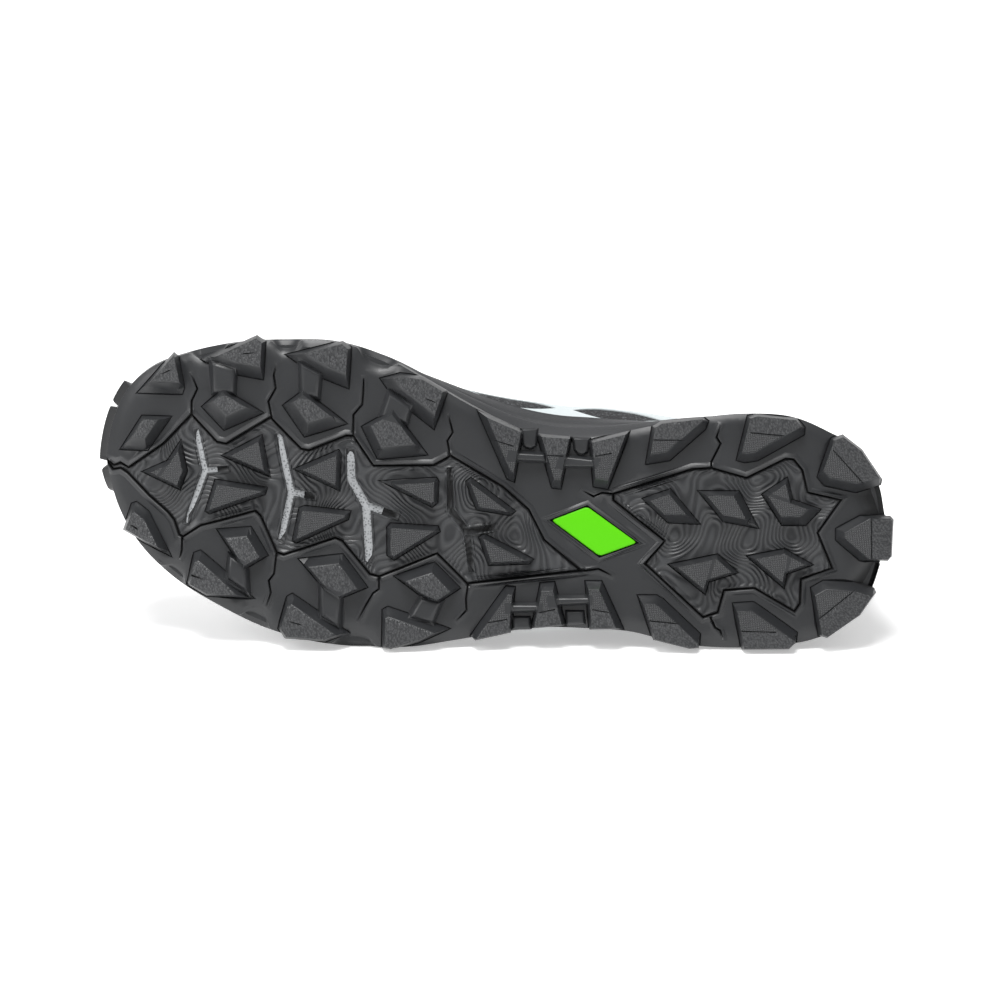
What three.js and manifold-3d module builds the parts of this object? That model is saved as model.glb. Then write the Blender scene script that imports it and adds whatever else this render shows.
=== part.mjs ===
// Trail running shoe for the right foot, empty, lying on its lateral side with the sole upright.
// Sizes are millimetres. The shoe is worked out standing: X runs from heel to toe, +Y is the
// medial side, +Z is up, and the lug tips under the heel and the ball lie at Z = 0.
// The last lines lay it down: the toe towards -X, the sole towards -Y, the medial side up.

import * as THREE from 'three';
import { ConvexHull } from 'three/addons/math/ConvexHull.js';
import { mergeVertices } from 'three/addons/utils/BufferGeometryUtils.js';
import Module from 'manifold-3d';

const wasm = await Module();
wasm.setup();

// Sole sizes
const LENGTH = 300;
const BALL_WIDTH = 115;
const LUG_HEIGHT = 5;
const LUG_DRAFT = 1.3;
const LUG_ROOT = 0.5;
const NECK_HEIGHT = 2.25;
const NECK_DRAFT = 0.4;
const PLATE = 3;
const PLATE_EDGE = 0.8;
const WEB_DEPTH = 1;
const LIP_WALL = 2.2;
const LIP_HEIGHT = 3;
const TOE_LIP_HEIGHT = 11;
const SLOT_WIDTH = 2.4;
const HEEL_STACK = 29;
const BALL_STACK = 21;
const TOE_SPRING = 17;
const HEEL_BEVEL = 4;
const ARCH_RISE = 2.5;
const RIM_HEIGHT = 8;
const WAIST_RIM_HEIGHT = 5;
const HEEL_RIM_HEIGHT = 12;
const RIM_WALL = 2.2;
const MIDSOLE_STEP = 1.4;

// Last and upper sizes
const LAST_LENGTH = 284;
const LAST_WIDTH = 96;
const HEEL_SETBACK = 9;
const INSTEP_HEIGHT = 74;
const COLLAR_HEIGHT = 66;
const COLLAR_TILT = 0.05;
const WALL = 2;
const COLLAR_WALL = 5.5;
const THROAT_WIDTH = 32;
const THROAT_END_WIDTH = 19;
const EYESTAY_WIDTH = 11;
const OVERLAY = 1.2;
const TOE_CAP_HEIGHT = 17;
const COUNTER_HEIGHT = 33;
const TONGUE_WALL = 5;
const TONGUE_WIDTH = 58;
const INSOLE = 4;
const INSOLE_MARGIN = 0.3;

// Lace, inlay and clearance
const LACE_WIDTH = 5.5;
const LACE_THICK = 2;
const EYELET_ROWS = 6;
const INLAY_DEPTH = 1.4;
const INLAY_RIM = 1.2;
const INLAY_MARGIN = 0.2;
const GAP = 0.3;
const REST_FLAT = 0.7;

// Fineness of the lofts: points around an outline and steps from its edge to the ridge
const AROUND = 60;
const LEVELS = 9;

// Where the sole's side profile changes, as shares of its length from the heel: the heel's bevel,
// the arch between the heel and the ball, the lift of the toe, the fall of the foot's bed, the
// midsole's rim with its low waist, and the lip that climbs the toe.
const PROFILE = {
  bevelEnds: 0.13,
  archStarts: 0.3,
  archFull: 0.4,
  archFalls: 0.46,
  archEnds: 0.56,
  springStarts: 0.68,
  springPower: 2.1,
  bedFalls: 0.2,
  bedLow: 0.66,
  heelRimFalls: 0.1,
  waistRimStarts: 0.36,
  waistRimEnds: 0.45,
  frontRimFull: 0.65,
  toeLipStarts: 0.93,
  toeLipFull: 0.985,
};

// Outlines of the sole and of the last's lower edge. at is a share of each one's length, the
// widths to each side are shares of the sole's and of the last's width across the ball.
const OUTLINE = [
  { at: 0, medial: 0, lateral: 0, lastMedial: 0, lastLateral: 0 },
  { at: 0.01, medial: 0.065, lateral: 0.065, lastMedial: 0.07, lastLateral: 0.07 },
  { at: 0.022, medial: 0.17, lateral: 0.18, lastMedial: 0.15, lastLateral: 0.165 },
  { at: 0.05, medial: 0.283, lateral: 0.295, lastMedial: 0.235, lastLateral: 0.25 },
  { at: 0.09, medial: 0.333, lateral: 0.355, lastMedial: 0.285, lastLateral: 0.305 },
  { at: 0.14, medial: 0.375, lateral: 0.387, lastMedial: 0.315, lastLateral: 0.34 },
  { at: 0.2, medial: 0.373, lateral: 0.406, lastMedial: 0.325, lastLateral: 0.36 },
  { at: 0.26, medial: 0.345, lateral: 0.405, lastMedial: 0.325, lastLateral: 0.37 },
  { at: 0.32, medial: 0.303, lateral: 0.38, lastMedial: 0.312, lastLateral: 0.38 },
  { at: 0.38, medial: 0.258, lateral: 0.383, lastMedial: 0.3, lastLateral: 0.392 },
  { at: 0.43, medial: 0.24, lateral: 0.392, lastMedial: 0.293, lastLateral: 0.405 },
  { at: 0.48, medial: 0.256, lateral: 0.418, lastMedial: 0.31, lastLateral: 0.425 },
  { at: 0.54, medial: 0.318, lateral: 0.457, lastMedial: 0.355, lastLateral: 0.455 },
  { at: 0.6, medial: 0.391, lateral: 0.493, lastMedial: 0.415, lastLateral: 0.48 },
  { at: 0.66, medial: 0.46, lateral: 0.504, lastMedial: 0.475, lastLateral: 0.495 },
  { at: 0.72, medial: 0.492, lateral: 0.499, lastMedial: 0.5, lastLateral: 0.49 },
  { at: 0.78, medial: 0.484, lateral: 0.468, lastMedial: 0.5, lastLateral: 0.46 },
  { at: 0.84, medial: 0.463, lateral: 0.41, lastMedial: 0.475, lastLateral: 0.405 },
  { at: 0.9, medial: 0.418, lateral: 0.333, lastMedial: 0.42, lastLateral: 0.315 },
  { at: 0.95, medial: 0.357, lateral: 0.228, lastMedial: 0.33, lastLateral: 0.205 },
  { at: 0.98, medial: 0.275, lateral: 0.115, lastMedial: 0.225, lastLateral: 0.105 },
  { at: 0.996, medial: 0.165, lateral: 0.003, lastMedial: 0.11, lastLateral: 0.01 },
  { at: 1, medial: 0.036, lateral: -0.036, lastMedial: 0.035, lastLateral: -0.035 },
];

// The last above its lower edge. at is a share of the last's length, height the ridge's height as
// a share of the instep height, square the exponent of the section's curve, shift how far the
// ridge lies to the medial side and medial and lateral how far the sides bulge, as shares of its width.
const SECTIONS = [
  { at: 0, height: 1.19, square: 4.6, shift: 0, medial: 0.03, lateral: 0.03 },
  { at: 0.12, height: 1.2, square: 4.4, shift: 0, medial: 0.02, lateral: 0.02 },
  { at: 0.22, height: 1.21, square: 3.8, shift: 0.01, medial: 0.04, lateral: 0.02 },
  { at: 0.28, height: 1.16, square: 3.4, shift: 0.02, medial: 0.07, lateral: 0.02 },
  { at: 0.34, height: 1.02, square: 3, shift: 0.04, medial: 0.1, lateral: 0.02 },
  { at: 0.42, height: 0.87, square: 2.7, shift: 0.06, medial: 0.115, lateral: 0.02 },
  { at: 0.5, height: 0.75, square: 2.5, shift: 0.08, medial: 0.095, lateral: 0.02 },
  { at: 0.6, height: 0.63, square: 2.4, shift: 0.08, medial: 0.055, lateral: 0.02 },
  { at: 0.7, height: 0.54, square: 2.4, shift: 0.08, medial: 0.03, lateral: 0.02 },
  { at: 0.8, height: 0.47, square: 2.5, shift: 0.07, medial: 0.03, lateral: 0.02 },
  { at: 0.9, height: 0.42, square: 2.6, shift: 0.06, medial: 0.02, lateral: 0.02 },
  { at: 1, height: 0.38, square: 2.6, shift: 0.04, medial: 0.02, lateral: 0.02 },
];

// The ridge's ends, as shares of the last's length, and how early the sides' bulge comes.
const RIDGE = { from: 0.12, to: 0.89, bulge: 0.8 };

// The collar's padding: at shares of the sole's length it starts to fade and ends, and at shares
// of the collar height it starts and is full.
const PADDING = { full: 0.28, ends: 0.4, low: 0.2, high: 0.5 };

// The throat as shares of the last's length: its ends, and where it narrows.
const THROAT = { from: 0.2, to: 0.615, narrows: 0.34, narrow: 0.6 };

// The overlays as shares of the sole's length: the far end, where the height starts and ends to
// change, the overlay's end and the height left at the low end as a share of the full one.
const CAP = { to: 1.1, starts: 0.72, full: 0.92, from: 0.71, low: 0.25 };
const CUP = { from: -0.1, starts: 0.03, falls: 0.26, to: 0.28, low: 0.3 };

// Outline of the tongue from its top to its tip. at is a share of the last's length, half the
// half width as a share of half the tongue's width.
const TONGUE = [
  { at: 0.275, half: 0.55 },
  { at: 0.285, half: 0.8 },
  { at: 0.31, half: 0.95 },
  { at: 0.4, half: 0.92 },
  { at: 0.55, half: 0.8 },
  { at: 0.66, half: 0.65 },
  { at: 0.67, half: 0.45 },
];

// The laces: the first and last row of eyelets as shares of the last's length, and the stops of
// each bar from one eyelet to the other.
const LACING = { first: 0.575, last: 0.372, stops: [1, 0.72, 0.4, 0, -0.4, -0.72, -1] };

// Top edge of the collar. at is a share of the last's length, rise a share of the collar height.
const TOPLINE = [
  { at: -0.05, rise: 1 },
  { at: 0.02, rise: 1 },
  { at: 0.06, rise: 0.92 },
  { at: 0.11, rise: 0.76 },
  { at: 0.17, rise: 0.67 },
  { at: 0.22, rise: 0.68 },
  { at: 0.27, rise: 0.8 },
  { at: 0.32, rise: 1 },
  { at: 0.37, rise: 1.2 },
];

// Side of the midsole above the outsole's lip. rise is the share of its height, out the distance
// beyond the straight line from lip to rim, as a share of the step.
const SIDE = [
  { rise: 0, out: -0.2 },
  { rise: 0.12, out: 0.6 },
  { rise: 0.42, out: 0.9 },
  { rise: 0.5, out: -0.5 },
  { rise: 0.62, out: 0.4 },
  { rise: 1, out: 0 },
];

// Lugs, a row each: their corners along the sole in percent of its length from the heel, and
// across it in percent of its width, with the medial side positive.
const LUGS = [
  // Toe and medial side of the forefoot, each arrow before its diamond
  { along: [96.5, 92.3, 91.7, 90.6, 90.8], across: [26.5, 41, 39.8, 29.6, 27.5] },
  { along: [98.1, 95.7, 92, 94.6], across: [7.4, 19, 19.6, 8] },
  { along: [88.6, 81.9, 80.8, 80.7, 84.8], across: [39.2, 47.6, 46.5, 34.7, 35.7] },
  { along: [88.1, 85.7, 80.4, 85.1], across: [23.9, 30.3, 23.7, 17] },
  { along: [78, 71.1, 70, 69.9, 73.3], across: [43.3, 48.7, 47.5, 34.2, 36.9] },
  { along: [77.9, 75.5, 69.8, 74.9], across: [26.7, 32.2, 22.6, 17.2] },
  { along: [66, 63.6, 60.6, 57.5, 58.8, 62.1], across: [38.2, 40.5, 38.5, 34, 23.3, 29] },
  { along: [67.8, 64.1, 59.4, 65.5], across: [22, 28.4, 14.7, 11.9] },
  // Lateral side of the forefoot
  { along: [97, 96.1, 95.5, 90.6, 94.2], across: [-17.1, -10.2, -9.5, -25.9, -22.4] },
  { along: [88.2, 87.6, 86.8, 79.7, 85.6], across: [-33.9, -24.2, -23.3, -37.1, -37.6] },
  { along: [84.9, 80.7, 78.3, 81.2], across: [-15.8, -14, -22.7, -28.1] },
  { along: [76.2, 75.4, 74.8, 67.3, 70.2], across: [-46.4, -35.7, -34.6, -45.8, -49] },
  { along: [74.3, 68.9, 65.5, 69], across: [-23, -20.2, -30.3, -35] },
  { along: [62.6, 63.3, 62.7, 54.8, 58.3], across: [-49.2, -37.3, -36.2, -41.6, -46.6] },
  { along: [62.2, 57.3, 53.9, 56.6], across: [-25.8, -20.4, -28.1, -33.6] },
  // Webs down the middle of the forefoot
  { along: [95, 92, 90.5, 89.4, 90.1], across: [0.7, 5, 11.9, 2.3, -3.9] },
  { along: [85, 80.3, 78.9], across: [8.5, 16.2, 3.2] },
  { along: [86.6, 85.7, 79.1, 79.3], across: [-10.2, 0.3, -0.7, -2.8] },
  { along: [75.8, 70.5, 70], across: [6.2, 13.6, 0.6] },
  { along: [75.3, 74.8, 68.4, 68.6], across: [-17.3, -6.4, -6, -8.6] },
  { along: [64.8, 58, 57.6], across: [4.7, 7.3, -0.7] },
  { along: [63.6, 63.2, 57.3, 57, 62.4], across: [-10.2, -8.9, -8.5, -10.1, -20.6] },
  { along: [54.2, 53.6, 47.8, 48.3], across: [7, 8.1, -1.5, -2.9] },
  { along: [52, 51.4, 45, 45.4, 50.5], across: [-10.9, -9.8, -16.8, -18.2, -19.8] },
  // Combs of the waist
  { along: [52.5, 47.6, 48.2], across: [28, 24, 8.2] },
  { along: [45.9, 41.5, 42.3, 43.4], across: [23, 23.2, 7.2, 7.3] },
  { along: [39.2, 34.6, 36.4, 38.2], across: [23.7, 26.5, 8.5, 8.8] },
  { along: [52, 48.1, 47, 47, 51.4], across: [-42.6, -26.2, -26.3, -40.6, -43] },
  { along: [44.5, 43.8, 42.1, 40.2], across: [-39, -24.3, -23.6, -37.6] },
  { along: [38.2, 36.2, 33.4, 37.2], across: [-22.4, -22, -36.4, -37.6] },
  // Edge of the heel from the medial side round to the lateral one
  { along: [31.9, 31.5, 25.4, 24.6, 29], across: [17.7, 29, 33.7, 32, 19.6] },
  { along: [20.6, 19.7, 13.6, 12.5, 18], across: [21.5, 36.1, 36.4, 32, 22] },
  { along: [10.3, 9, 7.6, 2.4, 5.3], across: [18.1, 31.2, 31.8, 17.8, 14.3] },
  { along: [7.4, 4.5, 0.8, 0.6, 4.1], across: [1.7, 6.6, 6, -6.2, -7.9] },
  { along: [9.9, 8.4, 4.6, 2.3, 8], across: [-18.2, -15.6, -15.4, -18, -33.2] },
  { along: [19.5, 17, 11.6, 12, 17.9], across: [-25.5, -24.5, -33.8, -36.6, -39.4] },
  { along: [31.5, 29.2, 23.5, 24.1, 29.1], across: [-25.5, -25, -36.5, -40.2, -38.6] },
  // Webs down the middle of the heel
  { along: [31.9, 28.6, 24.6, 28.5], across: [6.2, 10, -0.4, -0.8] },
  { along: [25, 20, 17.2, 21.6], across: [10.2, 11.2, -0.1, 1.1] },
  { along: [17, 14.1, 13.2, 9.6, 11.3, 14.2], across: [10.9, 17, 9.9, 7.6, 2.1, 1.5] },
  { along: [27.9, 22, 19.3, 22.8, 23.1], across: [-14.6, -10, -15.3, -19.1, -23.2] },
  { along: [18.2, 13.7, 10, 13.1, 13.3], across: [-9.7, -6.4, -10.7, -14.3, -19] },
];

// Low necks that join each forefoot arrow to its diamond, in the same shares as the lugs.
const NECKS = [
  { along: [86.9, 84.7, 84.6, 86.5], across: [37.9, 36.4, 28, 28] },
  { along: [75.8, 73.9, 73.9, 75.5], across: [40.3, 38.4, 29.5, 30.5] },
  { along: [64.1, 62.4, 62.9, 64.7], across: [33, 30.5, 24, 25.5] },
  { along: [82.7, 81.1, 80.7, 82.8], across: [-23, -26, -35.5, -31] },
  { along: [70.9, 69, 68.9, 70.7], across: [-30.5, -33.6, -43.8, -40.5] },
  { along: [58.4, 56.6, 57.2, 59.3], across: [-31.5, -32.5, -40, -38.8] },
];

// Sunken webs down the middle of the forefoot and of the heel, in the same shares.
const WEBS = [
  {
    along: [98, 92.7, 89.4, 85.5, 79.4, 74.8, 69.3, 66, 58.5, 56.4, 49.6, 46.1, 38.8,
      53, 57.1, 64.6, 69.5, 76.8, 80, 87.1, 89.5, 91.4, 96.9],
    across: [3, 10.6, 21.1, 12.7, 22.5, 13, 18.7, 9.6, 11.4, 15, 6.3, -0.5, -19.2,
      -26.4, -17.3, -26.3, -15.4, -21.8, -9, -15.1, -19, -11.6, -0.2],
  },
  {
    along: [35.7, 24.5, 19.2, 14, 12.3, 7, 9.7, 7.4, 11.3, 11.5, 17, 20.8, 22.5, 31, 28.7],
    across: [6, 17.8, 15.9, 23.3, 20, 11.4, -0.1, -11.4, -15.6, -26, -19.9, -21.4, -30, -14.9, -7],
  },
];

// Slots through the plate between the forefoot lugs: a bent bar and the short arm at its bend.
const SLOTS = [
  { along: [88.6, 87.1, 88.9], across: [15.6, 3.1, -14], armAlong: 84.4, armAcross: 4.3 },
  { along: [78.1, 76, 76.8], across: [16.2, -1.4, -17], armAlong: 73.2, armAcross: -2.1 },
  { along: [69, 66.5, 65.5], across: [13.6, -3.6, -21.1], armAlong: 62.7, armAcross: -6.1 },
];

// Diamond inlay at the waist, in the same shares.
const INLAY = { along: [43.2, 38.8, 32.1, 36.7], across: [-3.4, 2.1, -8.3, -13.9] };

// Surfaces: colour, roughness and the density in kg/m3 that places the centre of mass
const RUBBER = { color: 0x3f4145, roughness: 0.55, density: 1150 };
const FOAM = { color: 0x4a4c50, roughness: 0.8, density: 200 };
const INLAY_RUBBER = { color: 0x7ceb08, roughness: 0.5, density: 1150 };
const FABRIC = { color: 0x2f3236, roughness: 0.9, density: 400 };
const FILM = { color: 0xdfe5e7, roughness: 0.45, density: 900 };
const CORD = { color: 0x2b2d30, roughness: 0.85, density: 700 };

const { clamp, lerp, smoothstep } = THREE.MathUtils;

// A table's column at a share of the length, on a smooth curve through its rows.
function read(table, column, at) {
  const last = table.length - 1;
  let i = 0;
  while (i < last - 1 && table[i + 1].at < at) i += 1;
  const slope = (k) => {
    const before = table[Math.max(k - 1, 0)];
    const after = table[Math.min(k + 1, last)];
    return (after[column] - before[column]) / (after.at - before.at);
  };
  const span = table[i + 1].at - table[i].at;
  const s = clamp((at - table[i].at) / span, 0, 1);
  const curve = table[i][column] * (1 + 2 * s) * (1 - s) ** 2 + table[i + 1][column] * s * s * (3 - 2 * s);
  return curve + span * (slope(i) * s * (1 - s) ** 2 - slope(i + 1) * s * s * (1 - s));
}

// Height that the toe lifts by, from just ahead of the ball.
function toeLift(x) {
  const share = Math.max(0, (x / LENGTH - PROFILE.springStarts) / (1 - PROFILE.springStarts));
  return TOE_SPRING * share ** PROFILE.springPower;
}

// Height of the lug tips: the lifted toe, the bevelled heel and the arch.
function ground(x) {
  const at = x / LENGTH;
  const heel = Math.max(0, PROFILE.bevelEnds - at) / PROFILE.bevelEnds;
  const rise = smoothstep(at, PROFILE.archStarts, PROFILE.archFull);
  const fall = smoothstep(at, PROFILE.archFalls, PROFILE.archEnds);
  return toeLift(x) + HEEL_BEVEL * heel ** 2 + ARCH_RISE * (rise - fall);
}

// Height of the plate's underside, from which the lugs stand out.
function plateBottom(x) {
  return ground(x) + LUG_HEIGHT;
}

// Height of the foot's bed, on which the upper and the insole sit.
function bed(x) {
  const fall = smoothstep(x / LENGTH, PROFILE.bedFalls, PROFILE.bedLow);
  return toeLift(x) + lerp(HEEL_STACK, BALL_STACK, fall);
}

// Height of the midsole's rim above the bed.
function rim(x) {
  const at = x / LENGTH;
  const rise = smoothstep(at, PROFILE.waistRimEnds, PROFILE.frontRimFull);
  const front = lerp(WAIST_RIM_HEIGHT, RIM_HEIGHT, rise);
  return lerp(HEEL_RIM_HEIGHT, front, smoothstep(at, PROFILE.heelRimFalls, PROFILE.waistRimStarts));
}

// Height that the outsole's lip climbs the midsole, highest round the toe.
function lip(x) {
  const climb = smoothstep(x / LENGTH, PROFILE.toeLipStarts, PROFILE.toeLipFull);
  return lerp(LIP_HEIGHT, TOE_LIP_HEIGHT, climb);
}

// A closed smooth curve from the heel along the medial side to the toe and back laterally.
function closedOutline(start, length, width, medial, lateral) {
  const points = [];
  for (const row of OUTLINE) {
    points.push(new THREE.Vector3(start + row.at * length, row[medial] * width, 0));
  }
  for (const row of OUTLINE.slice(1, -1).reverse()) {
    points.push(new THREE.Vector3(start + row.at * length, -row[lateral] * width, 0));
  }
  return new THREE.CatmullRomCurve3(points, true, 'centripetal');
}

const soleCurve = closedOutline(0, LENGTH, BALL_WIDTH, 'medial', 'lateral');
const lastCurve = closedOutline(HEEL_SETBACK, LAST_LENGTH, LAST_WIDTH, 'lastMedial', 'lastLateral');

// A point of an outline, moved inwards by inset.
function onOutline(curve, u, inset) {
  const step = 1e-3;
  const before = curve.getPoint((u - step + 1) % 1);
  const after = curve.getPoint((u + step) % 1);
  const along = after.sub(before).normalize();
  return curve.getPoint(u).add(new THREE.Vector3(along.y, -along.x, 0).multiplyScalar(inset));
}

// A section's curve: how far it has come in and up at a share t of its quarter turn.
function sectionCurve(t, square) {
  const angle = (t * Math.PI) / 2;
  const reach = (Math.cos(angle) ** square + Math.sin(angle) ** square) ** (-1 / square);
  return { inwards: 1 - reach * Math.cos(angle), up: reach * Math.sin(angle) };
}

// A point of the last's surface. u goes round the lower edge and t climbs from it to the ridge.
// The sections fan out at both ends, because the ridge is shorter than the lower edge.
function lastPoint(u, t) {
  const base = lastCurve.getPoint((u + 1) % 1);
  const facing = lastCurve.getPoint((2 - u) % 1);
  const at = ((base.x + facing.x) / 2 - HEEL_SETBACK) / LAST_LENGTH;
  const side = (u + 1) % 1 > 0.5 ? 'lateral' : 'medial';
  const ridge = new THREE.Vector3(
    HEEL_SETBACK + LAST_LENGTH * lerp(RIDGE.from, RIDGE.to, at),
    LAST_WIDTH * read(SECTIONS, 'shift', at),
    0,
  );
  const bulge = LAST_WIDTH * read(SECTIONS, side, at);
  const curve = sectionCurve(t, read(SECTIONS, 'square', at));
  const outwards = base.clone().sub(ridge).normalize();
  const point = base.clone().lerp(ridge, curve.inwards);
  point.addScaledVector(outwards, bulge * Math.sin(Math.PI * Math.min(1, curve.up) ** RIDGE.bulge));
  point.z = bed(point.x) + INSTEP_HEIGHT * read(SECTIONS, 'height', at) * curve.up;
  return point;
}

// The last's surface moved outwards by a distance, or by a function of the point.
function offsetPoint(u, t, offset) {
  const point = lastPoint(u, t);
  const step = 2e-3;
  const around = lastPoint(u + step, t).sub(lastPoint(u - step, t));
  const rise = lastPoint(u, Math.min(t + step, 1)).sub(lastPoint(u, Math.max(t - step, 0)));
  const normal = around.cross(rise).normalize().negate();
  if (t === 0) normal.setZ(0).normalize();
  if (t === 1) {
    const v = u > 0.5 ? 1 - u : u;
    const along = lastPoint(Math.min(v + step, 0.5), 1).sub(lastPoint(Math.max(v - step, 0), 1));
    normal.set(-along.z, 0, along.x).normalize();
  }
  const distance = typeof offset === 'function' ? offset(point) : offset;
  return point.addScaledVector(normal, distance);
}

// Thickness of the upper's wall: thin over the foot, padded round the collar.
function wall(point) {
  const back = 1 - smoothstep(point.x / LENGTH, PADDING.full, PADDING.ends);
  const high = smoothstep((point.z - bed(point.x)) / COLLAR_HEIGHT, PADDING.low, PADDING.high);
  return lerp(WALL, COLLAR_WALL, back * high);
}

// A closed solid from triangles that share corners, turned so that its faces point out.
function solidFrom(positions, triangles) {
  let geometry = new THREE.BufferGeometry();
  geometry.setAttribute('position', new THREE.Float32BufferAttribute(positions, 3));
  geometry.setIndex(triangles);
  geometry = mergeVertices(geometry, 1e-4);
  const index = Array.from(geometry.index.array);
  const corners = [];
  for (let i = 0; i < index.length; i += 3) {
    const [a, b, c] = index.slice(i, i + 3);
    if (a !== b && b !== c && c !== a) corners.push(a, b, c);
  }
  const place = geometry.attributes.position;
  const corner = (i) => new THREE.Vector3().fromBufferAttribute(place, i);
  let volume = 0;
  for (let i = 0; i < corners.length; i += 3) {
    volume += corner(corners[i]).dot(corner(corners[i + 1]).cross(corner(corners[i + 2])));
  }
  if (volume < 0) corners.reverse();
  return new wasm.Manifold(new wasm.Mesh({
    numProp: 3,
    vertProperties: new Float32Array(place.array),
    triVerts: new Uint32Array(corners),
  }));
}

// A solid through closed rings of equally many points. A ring that starts at the heel is capped
// by strips across the shoe, so that the cap follows the sole's curve.
function loft(rings, capLast = true) {
  const count = rings[0].length;
  const positions = rings.flat().flatMap((p) => [p.x, p.y, p.z]);
  const triangles = [];
  for (let r = 0; r < rings.length - 1; r += 1) {
    for (let j = 0; j < count; j += 1) {
      const a = r * count + j;
      const b = r * count + ((j + 1) % count);
      triangles.push(a, b, b + count, a, b + count, a + count);
    }
  }
  const cap = (first, flip) => {
    for (let j = 0; j < count / 2; j += 1) {
      const a = first + j;
      const b = first + j + 1;
      const c = first + count - j - 1;
      const d = first + ((count - j) % count);
      const quad = flip ? [a, b, c, a, c, d] : [a, c, b, a, d, c];
      triangles.push(...quad);
    }
  };
  cap(0, false);
  if (capLast) cap((rings.length - 1) * count, true);
  return solidFrom(positions, triangles);
}

// A ring of points round the shoe, one for each step of u.
function ring(place) {
  return Array.from({ length: AROUND }, (_, j) => place(j / AROUND));
}

// The last grown by a distance, down to a depth below the bed.
function lastSolid(offset, depth) {
  const rings = [];
  rings.push(ring((u) => {
    const point = offsetPoint(u, 0, offset);
    return point.setZ(bed(point.x) - depth);
  }));
  for (let level = depth === 0 ? 1 : 0; level <= LEVELS; level += 1) {
    rings.push(ring((u) => offsetPoint(u, level / LEVELS, offset)));
  }
  return loft(rings, false);
}

// A prism between a lower and an upper polygon of equally many points.
function prism(lower, upper) {
  const faces = THREE.ShapeUtils.triangulateShape(lower.map((p) => new THREE.Vector2(p.x, p.y)), []);
  return joinedPrism(lower, upper, faces);
}

// The prism's solid from the triangles of its ends.
function joinedPrism(lower, upper, faces) {
  const count = lower.length;
  const turn = lower.reduce((sum, p, i) => {
    const next = lower[(i + 1) % count];
    return sum + p.x * next.y - next.x * p.y;
  }, 0);
  const triangles = [];
  for (const [a, b, c] of faces) {
    const area = (lower[b].x - lower[a].x) * (lower[c].y - lower[a].y)
      - (lower[c].x - lower[a].x) * (lower[b].y - lower[a].y);
    const face = area * turn > 0 ? [a, b, c] : [a, c, b];
    triangles.push(face[0], face[2], face[1]);
    triangles.push(face[0] + count, face[1] + count, face[2] + count);
  }
  for (let i = 0; i < count; i += 1) {
    const next = (i + 1) % count;
    triangles.push(i, next, next + count, i, next + count, i + count);
  }
  return solidFrom([...lower, ...upper].flatMap((p) => [p.x, p.y, p.z]), triangles);
}

// Corners of a row of shares, as points of the sole in millimetres.
function corners(row) {
  return row.along.map((along, i) => new THREE.Vector3(
    (along / 100) * LENGTH,
    (row.across[i] / 100) * BALL_WIDTH,
    0,
  ));
}

// The same corners moved towards their middle by a distance.
function shrunk(points, distance) {
  const middle = points.reduce((sum, p) => sum.add(p), new THREE.Vector3()).divideScalar(points.length);
  return points.map((p) => {
    const reach = p.distanceTo(middle);
    return middle.clone().lerp(p, Math.max(0.3, (reach - distance) / reach));
  });
}

// A block whose lower and upper faces follow the sole: from a height below the plate's
// underside to a height above it, drawn in by draft at the lower face.
function soleBlock(points, below, above, draft = 0) {
  const lower = shrunk(points, draft).map((p) => p.setZ(plateBottom(p.x) - below));
  const upper = points.map((p) => p.clone().setZ(plateBottom(p.x) + above));
  return prism(lower, upper);
}

// A straight bar of the sole's slots between two points.
function slotBar(from, to) {
  const along = to.clone().sub(from).normalize().multiplyScalar(SLOT_WIDTH / 2);
  const aside = new THREE.Vector3(-along.y, along.x, 0);
  const points = [
    from.clone().sub(along).add(aside),
    from.clone().sub(along).sub(aside),
    to.clone().add(along).sub(aside),
    to.clone().add(along).add(aside),
  ];
  return soleBlock(points, LUG_HEIGHT, 2 * PLATE);
}

function union(solids) {
  return wasm.Manifold.union(solids);
}

// Outsole: a rubber tray whose lip climbs the midsole, with the lugs under it.
function outsole() {
  const tray = loft([
    ring((u) => {
      const p = onOutline(soleCurve, u, PLATE_EDGE);
      return p.setZ(plateBottom(p.x));
    }),
    ring((u) => {
      const p = onOutline(soleCurve, u, 0);
      return p.setZ(plateBottom(p.x) + PLATE / 2);
    }),
    ring((u) => {
      const p = onOutline(soleCurve, u, 0);
      return p.setZ(plateBottom(p.x) + PLATE + lip(p.x));
    }),
    ring((u) => {
      const p = onOutline(soleCurve, u, LIP_WALL);
      return p.setZ(plateBottom(p.x) + PLATE + lip(p.x));
    }),
    ring((u) => {
      const p = onOutline(soleCurve, u, LIP_WALL);
      return p.setZ(plateBottom(p.x) + PLATE);
    }),
  ]);
  const cuts = WEBS.map((row) => soleBlock(corners(row), LUG_HEIGHT, WEB_DEPTH));
  for (const slot of SLOTS) {
    const [from, bend, to] = corners(slot);
    const arm = corners({ along: [slot.armAlong], across: [slot.armAcross] })[0];
    cuts.push(slotBar(from, bend), slotBar(bend, to), slotBar(bend, arm));
  }
  const base = tray.subtract(union(cuts));
  const lugs = LUGS.map((row) => soleBlock(corners(row), LUG_HEIGHT, WEB_DEPTH + LUG_ROOT, LUG_DRAFT));
  const necks = NECKS.map((row) => soleBlock(corners(row), NECK_HEIGHT, LUG_ROOT, NECK_DRAFT));
  const seat = soleBlock(shrunk(corners(INLAY), -INLAY_RIM), LUG_HEIGHT, INLAY_DEPTH + GAP);
  return union([base, ...lugs, ...necks]).subtract(seat);
}

// Inlay: a thin diamond plate in its seat under the waist.
function inlay() {
  return soleBlock(shrunk(corners(INLAY), INLAY_MARGIN), 0, INLAY_DEPTH);
}

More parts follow.
